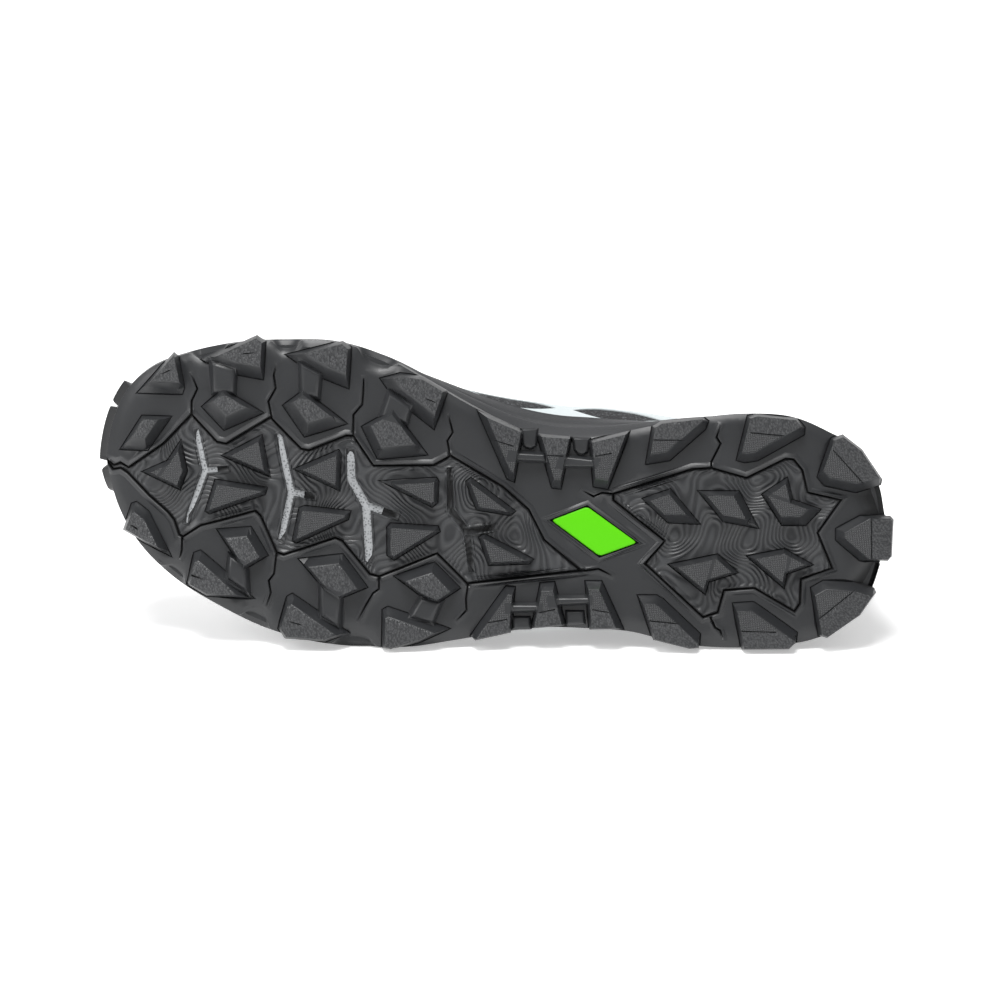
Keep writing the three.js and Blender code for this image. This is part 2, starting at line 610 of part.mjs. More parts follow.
// Midsole: foam that fills the tray, steps out over the lip and ends in a rim round the upper.
function midsole() {
  const inset = LIP_WALL + GAP;
  const lipTop = (x) => plateBottom(x) + PLATE + lip(x) + GAP;
  const rings = [
    ring((u) => {
      const p = onOutline(soleCurve, u, inset);
      return p.setZ(plateBottom(p.x) + PLATE + GAP);
    }),
    ring((u) => {
      const p = onOutline(soleCurve, u, inset);
      return p.setZ(lipTop(p.x));
    }),
  ];
  for (const row of SIDE) {
    rings.push(ring((u) => {
      const low = onOutline(soleCurve, u, MIDSOLE_STEP);
      const high = rimPoint(u);
      const point = low.clone().lerp(high, row.rise);
      const aside = onOutline(soleCurve, u, -MIDSOLE_STEP * row.out).sub(onOutline(soleCurve, u, 0));
      point.add(aside);
      point.z = lerp(lipTop(low.x), high.z, row.rise);
      return point;
    }));
  }
  return loft(rings).subtract(lastSolid(GAP, GAP));
}

// The outer edge of the midsole's rim: beside the upper at the rim's height.
function rimPoint(u) {
  let low = 0;
  let high = 1;
  for (let turn = 0; turn < 20; turn += 1) {
    const middle = (low + high) / 2;
    const p = lastPoint(u, middle);
    if (p.z - bed(p.x) < rim(p.x)) low = middle;
    else high = middle;
  }
  const point = offsetPoint(u, Math.max(low, 1e-3), 0);
  const outwards = offsetPoint(u, 0, 1).sub(offsetPoint(u, 0, 0)).setZ(0);
  return point.add(outwards.multiplyScalar(GAP + RIM_WALL));
}

// Half the throat's width at a share of the last's length.
function throatHalf(at) {
  return lerp(THROAT_WIDTH, THROAT_END_WIDTH, smoothstep(at, THROAT.narrows, THROAT.narrow)) / 2;
}

// An upright prism over the throat, widened by a margin, from well above the bed.
function throatPrism(margin, from = THROAT.from) {
  const steps = 6;
  const points = [];
  const place = (at, side, share) => {
    const half = throatHalf(at) + margin;
    const round = share > 0 ? Math.sin(share) : 0;
    return new THREE.Vector3(
      HEEL_SETBACK + at * LAST_LENGTH + half * round,
      LAST_WIDTH * read(SECTIONS, 'shift', at) + side * half * (share > 0 ? Math.cos(share) : 1),
      0,
    );
  };
  for (let i = 0; i < steps; i += 1) points.push(place(lerp(from, THROAT.to, i / steps), 1, 0));
  for (let i = 0; i <= steps; i += 1) {
    const angle = Math.PI * (i / steps);
    const share = Math.min(angle, Math.PI - angle);
    points.push(place(THROAT.to, i * 2 <= steps ? 1 : -1, Math.max(share, 1e-6)));
  }
  for (let i = steps - 1; i >= 0; i -= 1) points.push(place(lerp(from, THROAT.to, i / steps), -1, 0));
  const lower = points.map((p) => p.clone().setZ(bed(p.x) + 0.25 * INSTEP_HEIGHT));
  const upper = points.map((p) => p.clone().setZ(HEEL_STACK + 2 * INSTEP_HEIGHT));
  return prism(lower, upper);
}

// A prism across the shoe between a lower and an upper height, each a function of x.
function sideBand(from, to, lower, upper, tilt = 0) {
  const steps = 16;
  const wide = BALL_WIDTH;
  const outline = [];
  for (let i = 0; i <= steps; i += 1) {
    const x = lerp(from, to, i / steps);
    outline.push(new THREE.Vector2(x, lower(x)));
  }
  for (let i = steps; i >= 0; i -= 1) {
    const x = lerp(from, to, i / steps);
    outline.push(new THREE.Vector2(x, upper(x)));
  }
  const faces = THREE.ShapeUtils.triangulateShape(outline, []);
  const count = outline.length;
  const positions = [];
  for (const y of [-wide, wide]) {
    for (const p of outline) positions.push(p.x, y, p.y + tilt * y);
  }
  const triangles = [];
  for (const [a, b, c] of faces) triangles.push(a, b, c, a + count, c + count, b + count);
  for (let i = 0; i < count; i += 1) {
    const next = (i + 1) % count;
    triangles.push(i, next + count, next, i, i + count, next + count);
  }
  return solidFrom(positions, triangles);
}

// Height of the collar's top edge.
function topline(x) {
  const at = (x - HEEL_SETBACK) / LAST_LENGTH;
  return bed(x) + COLLAR_HEIGHT * read(TOPLINE, 'rise', at);
}

// Everything above the collar's top edge.
function collarCutter() {
  const from = HEEL_SETBACK + TOPLINE[0].at * LAST_LENGTH;
  const to = HEEL_SETBACK + TOPLINE[TOPLINE.length - 1].at * LAST_LENGTH;
  return sideBand(from, to, topline, () => HEEL_STACK + 2.5 * INSTEP_HEIGHT, COLLAR_TILT);
}

// Upper: one hollow wall, open at the collar, along the throat and underneath.
function upper() {
  const inside = lastSolid((point) => -wall(point), 2 * GAP);
  return lastSolid(0, 0).subtract(inside).subtract(collarCutter()).subtract(throatPrism(0));
}

// A skin over the upper: the space between two grown lasts, clear of the wall.
function skin() {
  return lastSolid(GAP + OVERLAY, 0).subtract(lastSolid(GAP, GAP));
}

// Height just above the midsole's rim.
function aboveRim(x) {
  return bed(x) + rim(x) + GAP;
}

// Toe cap: a rand from both sides of the ball, highest at the toe.
function toeCap() {
  const share = (x) => smoothstep(x / LENGTH, CAP.starts, CAP.full);
  const top = (x) => aboveRim(x) + TOE_CAP_HEIGHT * lerp(CAP.low, 1, share(x));
  const band = sideBand(CAP.from * LENGTH, CAP.to * LENGTH, aboveRim, top);
  return skin().intersect(band);
}

// Heel counter: a cup round the heel that falls away towards the waist.
function heelCounter() {
  const share = (x) => smoothstep(x / LENGTH, CUP.starts, CUP.falls);
  const top = (x) => aboveRim(x) + COUNTER_HEIGHT * lerp(1, CUP.low, share(x));
  const band = sideBand(CUP.from * LENGTH, CUP.to * LENGTH, aboveRim, top);
  return skin().intersect(band);
}

// Eyestay: a film along both sides of the throat, joined ahead of it.
function eyestay() {
  return skin()
    .intersect(throatPrism(EYESTAY_WIDTH, THROAT.from))
    .subtract(throatPrism(1, THROAT.from - 0.05))
    .subtract(collarCutter());
}

// Tongue: a padded flap under the throat that stands out of the collar.
function tongue() {
  const top = lastSolid((point) => -wall(point) - GAP, 0);
  const under = lastSolid((point) => -wall(point) - GAP - TONGUE_WALL, GAP);
  const place = (row, side) => new THREE.Vector3(
    HEEL_SETBACK + row.at * LAST_LENGTH,
    LAST_WIDTH * read(SECTIONS, 'shift', row.at) + (side * row.half * TONGUE_WIDTH) / 2,
    0,
  );
  const medial = TONGUE.map((row) => place(row, 1));
  const lateral = TONGUE.map((row) => place(row, -1)).reverse();
  const plan = [...medial, ...lateral];
  const lower = plan.map((p) => p.clone().setZ(bed(p.x) + 0.3 * INSTEP_HEIGHT));
  const over = plan.map((p) => p.clone().setZ(HEEL_STACK + 2 * INSTEP_HEIGHT));
  return top.subtract(under).intersect(prism(lower, over));
}

// Insole: a flat pad inside the upper's lower edge.
function insole() {
  const edge = (u) => offsetPoint(u, 0, (point) => -wall(point) - GAP - INSOLE_MARGIN);
  return loft([
    ring((u) => {
      const p = edge(u);
      return p.setZ(bed(p.x));
    }),
    ring((u) => {
      const p = edge(u);
      return p.setZ(bed(p.x) + INSOLE);
    }),
  ]);
}

// Where an upright line meets the last's surface, with the direction away from it.
const surface = new THREE.Mesh(toGeometry(lastSolid(0, 0)), new THREE.MeshBasicMaterial());
function onLast(x, y) {
  const above = new THREE.Vector3(x, y, HEEL_STACK + 3 * INSTEP_HEIGHT);
  const hit = new THREE.Raycaster(above, new THREE.Vector3(0, 0, -1)).intersectObject(surface)[0];
  return { point: hit.point, normal: hit.face.normal };
}

// A flat cord along points, with the direction away from the shoe at each.
function flatCord(path) {
  const sides = 6;
  const rings = path.map(({ point, normal }, i) => {
    const before = path[Math.max(i - 1, 0)].point;
    const after = path[Math.min(i + 1, path.length - 1)].point;
    const along = after.clone().sub(before).normalize();
    const across = along.cross(normal).normalize();
    return Array.from({ length: sides }, (_, j) => {
      const angle = (2 * Math.PI * (j + 0.5)) / sides;
      return point.clone()
        .addScaledVector(across, (LACE_WIDTH / 2) * Math.cos(angle))
        .addScaledVector(normal, (LACE_THICK / 2) * Math.sin(angle));
    });
  });
  return loft(rings);
}

// Laces: a straight bar at the vamp and a cross between each two rows of eyelets.
function laces() {
  const row = (i) => lerp(LACING.first, LACING.last, i / (EYELET_ROWS - 1));
  const high = OVERLAY + 3 * GAP + LACE_THICK / 2;
  const low = -WALL + LACE_THICK / 2 + GAP;
  const bar = (fromAt, fromSide, toAt) => {
    const path = [];
    for (const share of LACING.stops) {
      const at = lerp(fromAt, toAt, (1 - share) / 2);
      const side = fromSide * share;
      const half = throatHalf(at) + EYESTAY_WIDTH / 2;
      const x = HEEL_SETBACK + at * LAST_LENGTH;
      const { point, normal } = onLast(x, LAST_WIDTH * read(SECTIONS, 'shift', at) + side * half);
      const edge = (throatHalf(at) - 1) / half;
      const lift = lerp(low, high, smoothstep(Math.abs(side), 0.1, edge - 0.05));
      path.push({ point: point.addScaledVector(normal, lift), normal });
    }
    return flatCord(path);
  };
  const bars = [bar(row(0), 1, row(0))];
  for (let i = 0; i < EYELET_ROWS - 1; i += 1) {
    bars.push(bar(row(i), 1, row(i + 1)), bar(row(i), -1, row(i + 1)));
  }
  return union(bars);
}

function toGeometry(solid) {
  const { numProp, vertProperties, triVerts } = solid.getMesh();
  const geometry = new THREE.BufferGeometry();
  const positions = new THREE.InterleavedBuffer(vertProperties, numProp);
  geometry.setAttribute('position', new THREE.InterleavedBufferAttribute(positions, 3, 0));
  geometry.setIndex(Array.from(triVerts));
  const flat = geometry.toNonIndexed();
  flat.computeVertexNormals();
  return flat;
}

const pieces = [
  { name: 'outsole', solid: outsole(), finish: RUBBER },
  { name: 'outsole_inlay', solid: inlay(), finish: INLAY_RUBBER },
  { name: 'midsole', solid: midsole(), finish: FOAM },
  { name: 'upper', solid: upper(), finish: FABRIC },
  { name: 'toe_cap', solid: toeCap(), finish: FILM },
  { name: 'heel_counter', solid: heelCounter(), finish: FILM },
  { name: 'eyestay', solid: eyestay(), finish: FILM },
  { name: 'tongue', solid: tongue(), finish: FABRIC },
  { name: 'insole', solid: insole(), finish: FOAM },
  { name: 'laces', solid: laces(), finish: CORD },
];

// Centre of mass of the whole shoe, from each piece's triangles and density.
function centreOfMass() {
  const total = new THREE.Vector3();
  let mass = 0;
  for (const { solid, finish } of pieces) {
    const { vertProperties, triVerts } = solid.getMesh();
    const corner = (i) => new THREE.Vector3().fromArray(vertProperties, 3 * triVerts[i]);
    for (let i = 0; i < triVerts.length; i += 3) {
      const [a, b, c] = [corner(i), corner(i + 1), corner(i + 2)];
      const weight = (finish.density * a.dot(b.clone().cross(c))) / 6;
      total.addScaledVector(a.add(b).add(c), weight / 4);
      mass += weight;
    }
  }
  return total.divideScalar(mass);
}

// The plane that the shoe comes to rest on: the lateral face of the hull round all pieces
// that lies under the centre of mass.
function restingPlane() {
  const points = pieces.flatMap(({ solid }) => {
    const { vertProperties } = solid.getMesh();
    return Array.from({ length: vertProperties.length / 3 }, (_, i) =>
      new THREE.Vector3().fromArray(vertProperties, 3 * i));
  });
  const centre = centreOfMass();
  const hull = new ConvexHull().setFromPoints(points);
  const under = hull.faces.find((face) => {
    if (face.normal.y > -0.7) return false;
    const ends = [face.edge.tail().point, face.edge.head().point, face.edge.next.head().point];
    const foot = new THREE.Plane(face.normal, -face.constant).projectPoint(centre, new THREE.Vector3());
    return new THREE.Triangle(...ends).containsPoint(foot);
  });
  return { normal: under.normal.clone(), distance: under.constant };
}

const rest = restingPlane();
const keep = rest.normal.clone().negate();
const floorDistance = rest.distance - REST_FLAT;

// The standing shoe. What touches the floor is flattened where it rests.
const standing = new THREE.Group();
for (const { name, solid, finish } of pieces) {
  const trimmed = solid.trimByPlane(keep.toArray(), -floorDistance);
  const material = new THREE.MeshStandardMaterial({
    color: finish.color,
    roughness: finish.roughness,
    metalness: 0,
    flatShading: true,
  });
  const mesh = new THREE.Mesh(toGeometry(trimmed), material);
  mesh.name = name;
  standing.add(mesh);
}

// The shoe laid down: its resting plane becomes the floor and its toe points towards -X.
const up = keep.clone();
const across = new THREE.Vector3(-1, 0, 0).addScaledVector(up, up.x).normalize();
const away = up.clone().cross(across);
const turned = new THREE.Matrix4().makeBasis(across, away, up).invert();
standing.quaternion.setFromRotationMatrix(turned);
standing.updateMatrixWorld(true);
const size = new THREE.Box3().setFromObject(standing, true);
const middle = size.getCenter(new THREE.Vector3());
standing.position.set(-middle.x, -middle.y, -size.min.z);

const shoe = new THREE.Group();
shoe.name = 'trail_running_shoe';
shoe.add(standing);
shoe.updateMatrixWorld(true);

export default shoe;
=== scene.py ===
import math

import bmesh
import bpy
import numpy as np
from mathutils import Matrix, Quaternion, Vector, geometry
from mathutils.bvhtree import BVHTree


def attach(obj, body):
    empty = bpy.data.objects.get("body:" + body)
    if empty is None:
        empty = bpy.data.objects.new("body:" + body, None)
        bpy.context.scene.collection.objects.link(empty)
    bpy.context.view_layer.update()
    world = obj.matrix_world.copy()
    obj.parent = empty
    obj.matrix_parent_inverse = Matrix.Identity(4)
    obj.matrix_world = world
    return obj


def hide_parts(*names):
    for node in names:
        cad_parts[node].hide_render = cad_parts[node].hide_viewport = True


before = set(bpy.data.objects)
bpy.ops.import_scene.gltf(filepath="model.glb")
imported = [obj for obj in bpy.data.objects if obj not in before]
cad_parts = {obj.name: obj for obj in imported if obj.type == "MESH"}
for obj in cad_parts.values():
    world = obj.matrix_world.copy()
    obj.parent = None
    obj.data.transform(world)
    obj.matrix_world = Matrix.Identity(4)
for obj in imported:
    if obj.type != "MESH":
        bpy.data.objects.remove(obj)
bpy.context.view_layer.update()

# How the shoe lies. Every piece is worked out on a standing right shoe in millimetres: X from the
# heel to the toe, Y to the medial side, Z up from the lug tips. It then lies on its lateral side,
# leant over by LEAN and raised at the toe by TILT, with the back of the heel's sole at HEEL_AT.
LENGTH = 300.0
BALL_WIDTH = 115.0
LEAN = math.radians(11.269)
TILT = math.radians(4.5595)
HEEL_AT = np.array([149.725, -50.172, 42.727])
TO_TOE = (-math.cos(TILT), 0.0, math.sin(TILT))
TO_MEDIAL = (math.sin(TILT) * math.cos(LEAN), math.sin(LEAN), math.cos(TILT) * math.cos(LEAN))
TO_TOP = (-math.sin(TILT) * math.sin(LEAN), math.cos(LEAN), -math.cos(TILT) * math.sin(LEAN))


def lay_down(points):
    """Places in metres of the lying shoe: the heel's place plus each coordinate along its direction.
    Where the shoe presses on the floor it is flat: no place is lower than 0."""
    placed = (np.asarray(points) @ np.array([TO_TOE, TO_MEDIAL, TO_TOP]) + HEEL_AT) / 1000.0
    placed[..., 2] = np.maximum(placed[..., 2], 0.0)
    return placed


# Camera at the photograph's angle: square to the sole but for a few degrees, so that a strip of
# the upper shows above the medial waist.
FRAME_WIDTH = 372.9
CAMERA_AWAY = 1800.0
CAMERA_AZIMUTH = math.radians(0.9)
CAMERA_RISE = math.radians(14.3)
CAMERA_ROLL = math.radians(0.2)
AIM = (151.0, 3.7, 2.0)

lens = bpy.data.cameras.new("camera")
lens.sensor_width = 36.0
lens.lens = lens.sensor_width * CAMERA_AWAY / FRAME_WIDTH
lens.clip_start = 0.05
camera = bpy.data.objects.new("camera", lens)
toward_camera = Vector((
    math.sin(CAMERA_AZIMUTH) * math.cos(CAMERA_RISE),
    -math.cos(CAMERA_AZIMUTH) * math.cos(CAMERA_RISE),
    math.sin(CAMERA_RISE),
))
camera.location = Vector(lay_down([AIM])[0]) + toward_camera * CAMERA_AWAY / 1000.0
camera.rotation_mode = "QUATERNION"
camera.rotation_quaternion = (-toward_camera).to_track_quat("-Z", "Y")
camera.rotation_quaternion.rotate(Quaternion(toward_camera, CAMERA_ROLL))
bpy.context.scene.collection.objects.link(camera)
bpy.context.scene.camera = camera
bpy.context.scene.view_settings.view_transform = "Standard"

# Floor: a plain pale sweep of painted board, flat under the shoe and rising far behind it.
# It is painted white and glows a little, so that it shows as an even ground.
FLOOR_COLOR = (0.93, 0.93, 0.93)
FLOOR_HALF = 3.0
FLOOR_GLOW = 0.42


class Value:
    """A number in a shader: arithmetic on it adds Math nodes and gives the socket that they end in."""

    def __init__(self, look, socket):
        self.look = look
        self.socket = socket

    def maths(self, operation, *values):
        return self.look.add("ShaderNodeMath", {"operation": operation}, dict(enumerate(values)))

    def __add__(self, other):
        return self.maths("ADD", self, other)

    def __sub__(self, other):
        return self.maths("SUBTRACT", self, other)

    def __rsub__(self, other):
        return self.maths("SUBTRACT", other, self)

    def __mul__(self, other):
        return self.maths("MULTIPLY", self, other)

    __radd__ = __add__
    __rmul__ = __mul__

    def sine(self):
        return self.maths("SINE", self)

    def equals(self, number):
        """1 where the value lies within 0.4 of the number, else 0."""
        return self.maths("COMPARE", self, number, 0.4)

    def ramp(self, low, high):
        """0 at low, 1 at high, straight between and level beyond."""
        return self.look.add("ShaderNodeMapRange", {}, {0: self, 1: low, 2: high})


class Look:
    """A procedural material. add() puts in any node from its type, its settings and its inputs."""

    def __init__(self, name):
        self.material = bpy.data.materials.new(name)
        self.material.use_nodes = True
        self.tree = self.material.node_tree
        self.tree.nodes.clear()
        self.place = self.add("ShaderNodeTexCoord", {}, {}, "Object")

    def add(self, kind, settings, inputs, output=0):
        node = self.tree.nodes.new(kind)
        for key, value in settings.items():
            setattr(node, key, value)
        for key, value in inputs.items():
            socket = node.inputs[key]
            if isinstance(value, Value):
                self.tree.links.new(value.socket, socket)
            elif socket.type == "RGBA":
                socket.default_value = (*value, 1.0)
            else:
                socket.default_value = value
        return Value(self, node.outputs[output]) if node.outputs else None

    def attribute(self, name):
        return self.add("ShaderNodeAttribute", {"attribute_name": name}, {}, "Fac")

    def noise(self, scale, detail):
        sockets = {"Vector": self.place, "Scale": scale, "Detail": detail}
        return self.add("ShaderNodeTexNoise", {}, sockets)

    def cells(self, scale):
        return self.add("ShaderNodeTexVoronoi", {}, {"Vector": self.place, "Scale": scale})

    def mix(self, share, first, second):
        """A colour between two, by a share from 0 to 1."""
        return self.add("ShaderNodeMix", {"data_type": "RGBA"}, {0: share, 6: first, 7: second}, 2)

    def bump(self, height, distance):
        """A normal raised by a height times a distance in metres."""
        return self.add("ShaderNodeBump", {}, {"Height": height, "Distance": distance})

    def finish(self, **sockets):
        """The surface, from its sockets' names with _ for each blank."""
        named = {key.replace("_", " "): value for key, value in sockets.items()}
        shader = self.add("ShaderNodeBsdfPrincipled", {}, named)
        self.add("ShaderNodeOutputMaterial", {}, {"Surface": shader})
        return self.material


def grid_faces(rows, columns, closed=False):
    """Quads between neighbouring rows and columns; the last column joins the first when closed."""
    index = np.arange(rows * columns).reshape(rows, columns)
    if closed:
        index = np.concatenate([index, index[:, :1]], 1)
    corners = [index[:-1, :-1], index[:-1, 1:], index[1:, 1:], index[1:, :-1]]
    return np.stack(corners, -1).reshape(-1, 4)


def mesh_object(name, points, faces, material):
    """An object at the origin whose mesh has these places in metres and these faces."""
    mesh = bpy.data.meshes.new(name)
    mesh.from_pydata(np.asarray(points).reshape(-1, 3).tolist(), [], list(map(list, faces)))
    mesh.materials.append(material)
    thing = bpy.data.objects.new(name, mesh)
    bpy.context.scene.collection.objects.link(thing)
    return thing


board = Look("floor_board")
sweep = np.linspace(0.0, 1.0, 40)
sweep_y = np.where(sweep < 0.7, -FLOOR_HALF + sweep / 0.7 * 2 * FLOOR_HALF, FLOOR_HALF)
sweep_z = np.where(sweep < 0.7, 0.0, (sweep - 0.7) / 0.3 * 2.0)
sides = np.array([-FLOOR_HALF, FLOOR_HALF])
floor_points = np.stack(np.broadcast_arrays(sides[None, :], sweep_y[:, None], sweep_z[:, None]), -1)
floor = mesh_object("floor", floor_points, grid_faces(40, 2), board.finish(
    Base_Color=FLOOR_COLOR, Roughness=0.6, Emission_Color=FLOOR_COLOR, Emission_Strength=FLOOR_GLOW))

# Light: one broad lamp high in front, a fill from the left and an even pale surround.
world = bpy.data.worlds.new("surround")
world.use_nodes = True
world.node_tree.nodes["Background"].inputs["Color"].default_value = (1.0, 1.0, 1.0, 1.0)
world.node_tree.nodes["Background"].inputs["Strength"].default_value = 0.45
bpy.context.scene.world = world

LAMPS = [
    {"name": "lamp_top", "at": (-0.15, -0.5, 1.5), "size": 0.7, "watts": 26.0},
    {"name": "lamp_left", "at": (-1.2, -0.6, 0.9), "size": 0.6, "watts": 7.0},
]
for row in LAMPS:
    lamp = bpy.data.lights.new(row["name"], "AREA")
    lamp.shape = "SQUARE"
    lamp.size = row["size"]
    lamp.energy = row["watts"]
    hung = bpy.data.objects.new(row["name"], lamp)
    hung.location = row["at"]
    hung.rotation_euler = (Vector((0, 0, 0.06)) - Vector(row["at"])).to_track_quat("-Z", "Y").to_euler()
    bpy.context.scene.collection.objects.link(hung)

# Upper: one layer of woven mesh, pulled over a last and glued down under the foot, padded round
# the collar and cut open along the throat.
LAST_LENGTH = 284.0
LAST_WIDTH = 96.0
HEEL_SETBACK = 9.0
INSTEP_HEIGHT = 74.0
COLLAR_HEIGHT = 66.0
COLLAR_TILT = 0.05
WALL = 2.0
COLLAR_WALL = 5.5
HEEL_STACK = 29.0
BALL_STACK = 21.0
TOE_SPRING = 17.0
GAP = 0.3

# Outlines of the sole and of the last's lower edge. at is a share of each one's length, the
# widths to each side are shares of the sole's and of the last's width across the ball.
OUTLINE = np.array([
    (0, 0, 0, 0, 0),
    (0.01, 0.065, 0.065, 0.07, 0.07),
    (0.022, 0.17, 0.18, 0.15, 0.165),
    (0.05, 0.283, 0.295, 0.235, 0.25),
    (0.09, 0.333, 0.355, 0.285, 0.305),
    (0.14, 0.375, 0.387, 0.315, 0.34),
    (0.2, 0.373, 0.406, 0.325, 0.36),
    (0.26, 0.345, 0.405, 0.325, 0.37),
    (0.32, 0.303, 0.38, 0.312, 0.38),
    (0.38, 0.258, 0.383, 0.3, 0.392),
    (0.43, 0.24, 0.392, 0.293, 0.405),
    (0.48, 0.256, 0.418, 0.31, 0.425),
    (0.54, 0.318, 0.457, 0.355, 0.455),
    (0.6, 0.391, 0.493, 0.415, 0.48),
    (0.66, 0.46, 0.504, 0.475, 0.495),
    (0.72, 0.492, 0.499, 0.5, 0.49),
    (0.78, 0.484, 0.468, 0.5, 0.46),
    (0.84, 0.463, 0.41, 0.475, 0.405),
    (0.9, 0.418, 0.333, 0.42, 0.315),
    (0.95, 0.357, 0.228, 0.33, 0.205),
    (0.98, 0.275, 0.115, 0.225, 0.105),
    (0.996, 0.165, 0.003, 0.11, 0.01),
    (1, 0.036, -0.036, 0.035, -0.035),
], dtype=[(name, float) for name in ("at", "medial", "lateral", "last_medial", "last_lateral")])

# The last above its lower edge. height is the ridge's height as a share of the instep height,
# square the exponent of the section's curve, shift how far the ridge lies to the medial side and
# medial and lateral how far the sides bulge, as shares of the last's width.
SECTIONS = np.array([
    (0, 1.19, 4.6, 0, 0.03, 0.03),
    (0.12, 1.2, 4.4, 0, 0.02, 0.02),
    (0.22, 1.21, 3.8, 0.01, 0.04, 0.02),
    (0.28, 1.16, 3.4, 0.02, 0.07, 0.02),
    (0.34, 1.02, 3, 0.04, 0.1, 0.02),
    (0.42, 0.87, 2.7, 0.06, 0.115, 0.02),
    (0.5, 0.75, 2.5, 0.08, 0.095, 0.02),
    (0.6, 0.63, 2.4, 0.08, 0.055, 0.02),
    (0.7, 0.54, 2.4, 0.08, 0.03, 0.02),
    (0.8, 0.47, 2.5, 0.07, 0.03, 0.02),
    (0.9, 0.42, 2.6, 0.06, 0.02, 0.02),
    (1, 0.38, 2.6, 0.04, 0.02, 0.02),
], dtype=[(name, float) for name in ("at", "height", "square", "shift", "medial", "lateral")])

# Top edge of the collar. rise is a share of the collar height.
TOPLINE = np.array([
    (-0.05, 1), (0.02, 1), (0.06, 0.92), (0.11, 0.76), (0.17, 0.67), (0.22, 0.68), (0.27, 0.8),
    (0.32, 1), (0.37, 1.2),
], dtype=[("at", float), ("rise", float)])

RIDGE = {"from": 0.12, "to": 0.89, "bulge": 0.8}
THROAT = {"from": 0.2, "to": 0.615, "narrows": 0.34, "narrow": 0.6, "width": 32.0, "end_width": 19.0}


def smooth(value, low, high):
    """0 below low and 1 above high, with a level start and end."""
    share = np.clip((value - low) / (high - low), 0.0, 1.0)
    return share * share * (3.0 - 2.0 * share)


def between(first, second, share):
    """The straight line from first to second."""
    return first + (second - first) * share


def read(table, column, at):
    """A column at shares of the length: cubics whose slope at a row is its neighbours' slope."""
    place, value = table["at"], table[column]
    rows = np.arange(len(place))
    before, after = np.maximum(rows - 1, 0), np.minimum(rows + 1, len(place) - 1)
    slope = (value[after] - value[before]) / (place[after] - place[before])
    i = np.clip(np.searchsorted(place[1:], at), 0, len(place) - 2)
    span = place[i + 1] - place[i]
    s = np.clip((at - place[i]) / span, 0.0, 1.0)
    curve = value[i] * (1 + 2 * s) * (1 - s) ** 2 + value[i + 1] * s * s * (3 - 2 * s)
    return curve + span * (slope[i] * s * (1 - s) ** 2 - slope[i + 1] * s * s * (1 - s))


def toe_lift(x):
    """Height that the toe lifts by, from just ahead of the ball."""
    return TOE_SPRING * np.maximum(0.0, (x / LENGTH - 0.68) / 0.32) ** 2.1


def bed(x):
    """Height of the foot's bed."""
    return toe_lift(x) + between(HEEL_STACK, BALL_STACK, smooth(x / LENGTH, 0.2, 0.66))


def outline_corners(start, length, width, medial, lateral):
    """Corners of an outline from the heel along the medial side to the toe and back laterally."""
    x = start + OUTLINE["at"] * length
    there = np.stack([x, OUTLINE[medial] * width], 1)
    back = np.stack([x, -OUTLINE[lateral] * width], 1)[-2:0:-1]
    return np.concatenate([there, back])


def outline(corners, u, inset=0.0):
    """Points of a closed centripetal spline through corners, u from 0 to 1, moved inwards."""
    u = np.asarray(u, float)
    if np.any(inset != 0.0):
        along = outline(corners, u + 1e-3) - outline(corners, u - 1e-3)
        along /= np.linalg.norm(along, axis=-1, keepdims=True)
        inwards = np.stack([along[..., 1], -along[..., 0]], -1)
        return outline(corners, u) + inwards * np.asarray(inset)[..., None]
    count = len(corners)
    at = (u % 1.0) * count
    i = np.floor(at).astype(int)
    s = (at - i)[..., None]
    p0, p1, p2, p3 = (corners[(i + k) % count] for k in (-1, 0, 1, 2))
    d0, d1, d2 = (np.sqrt(np.linalg.norm(b - a, axis=-1, keepdims=True))
                  for a, b in ((p0, p1), (p1, p2), (p2, p3)))
    t1 = ((p1 - p0) / d0 - (p2 - p0) / (d0 + d1) + (p2 - p1) / d1) * d1
    t2 = ((p2 - p1) / d1 - (p3 - p1) / (d1 + d2) + (p3 - p2) / d2) * d1
    return p1 + t1 * s + (3 * p2 - 3 * p1 - 2 * t1 - t2) * s ** 2 + (2 * p1 - 2 * p2 + t1 + t2) * s ** 3


LAST = outline_corners(HEEL_SETBACK, LAST_LENGTH, LAST_WIDTH, "last_medial", "last_lateral")


def last_point(u, t):
    """The last's surface: u goes round its lower edge, t climbs a rounded section to the ridge."""
    u, t = np.broadcast_arrays(np.asarray(u, float), np.asarray(t, float))
    base = outline(LAST, u)
    facing = outline(LAST, 2.0 - u)
    at = ((base[..., 0] + facing[..., 0]) / 2 - HEEL_SETBACK) / LAST_LENGTH
    medial = (u % 1.0) <= 0.5
    ridge = np.stack([
        HEEL_SETBACK + LAST_LENGTH * between(RIDGE["from"], RIDGE["to"], at),
        LAST_WIDTH * read(SECTIONS, "shift", at),
    ], -1)
    bulge = LAST_WIDTH * np.where(medial, read(SECTIONS, "medial", at), read(SECTIONS, "lateral", at))
    square = read(SECTIONS, "square", at)
    cosine, sine = np.cos(t * np.pi / 2), np.sin(t * np.pi / 2)
    cosine = np.maximum(cosine, 0.0)
    reach = (cosine ** square + sine ** square) ** (-1.0 / square)
    inwards, climb = (1.0 - reach * cosine)[..., None], reach * sine
    outwards = base - ridge
    outwards /= np.linalg.norm(outwards, axis=-1, keepdims=True)
    plan = base + (ridge - base) * inwards
    swell = bulge * np.sin(np.pi * np.minimum(1.0, climb) ** RIDGE["bulge"])
    plan = plan + outwards * swell[..., None]
    z = bed(plan[..., 0]) + INSTEP_HEIGHT * read(SECTIONS, "height", at) * climb
    return np.concatenate([plan, z[..., None]], -1)


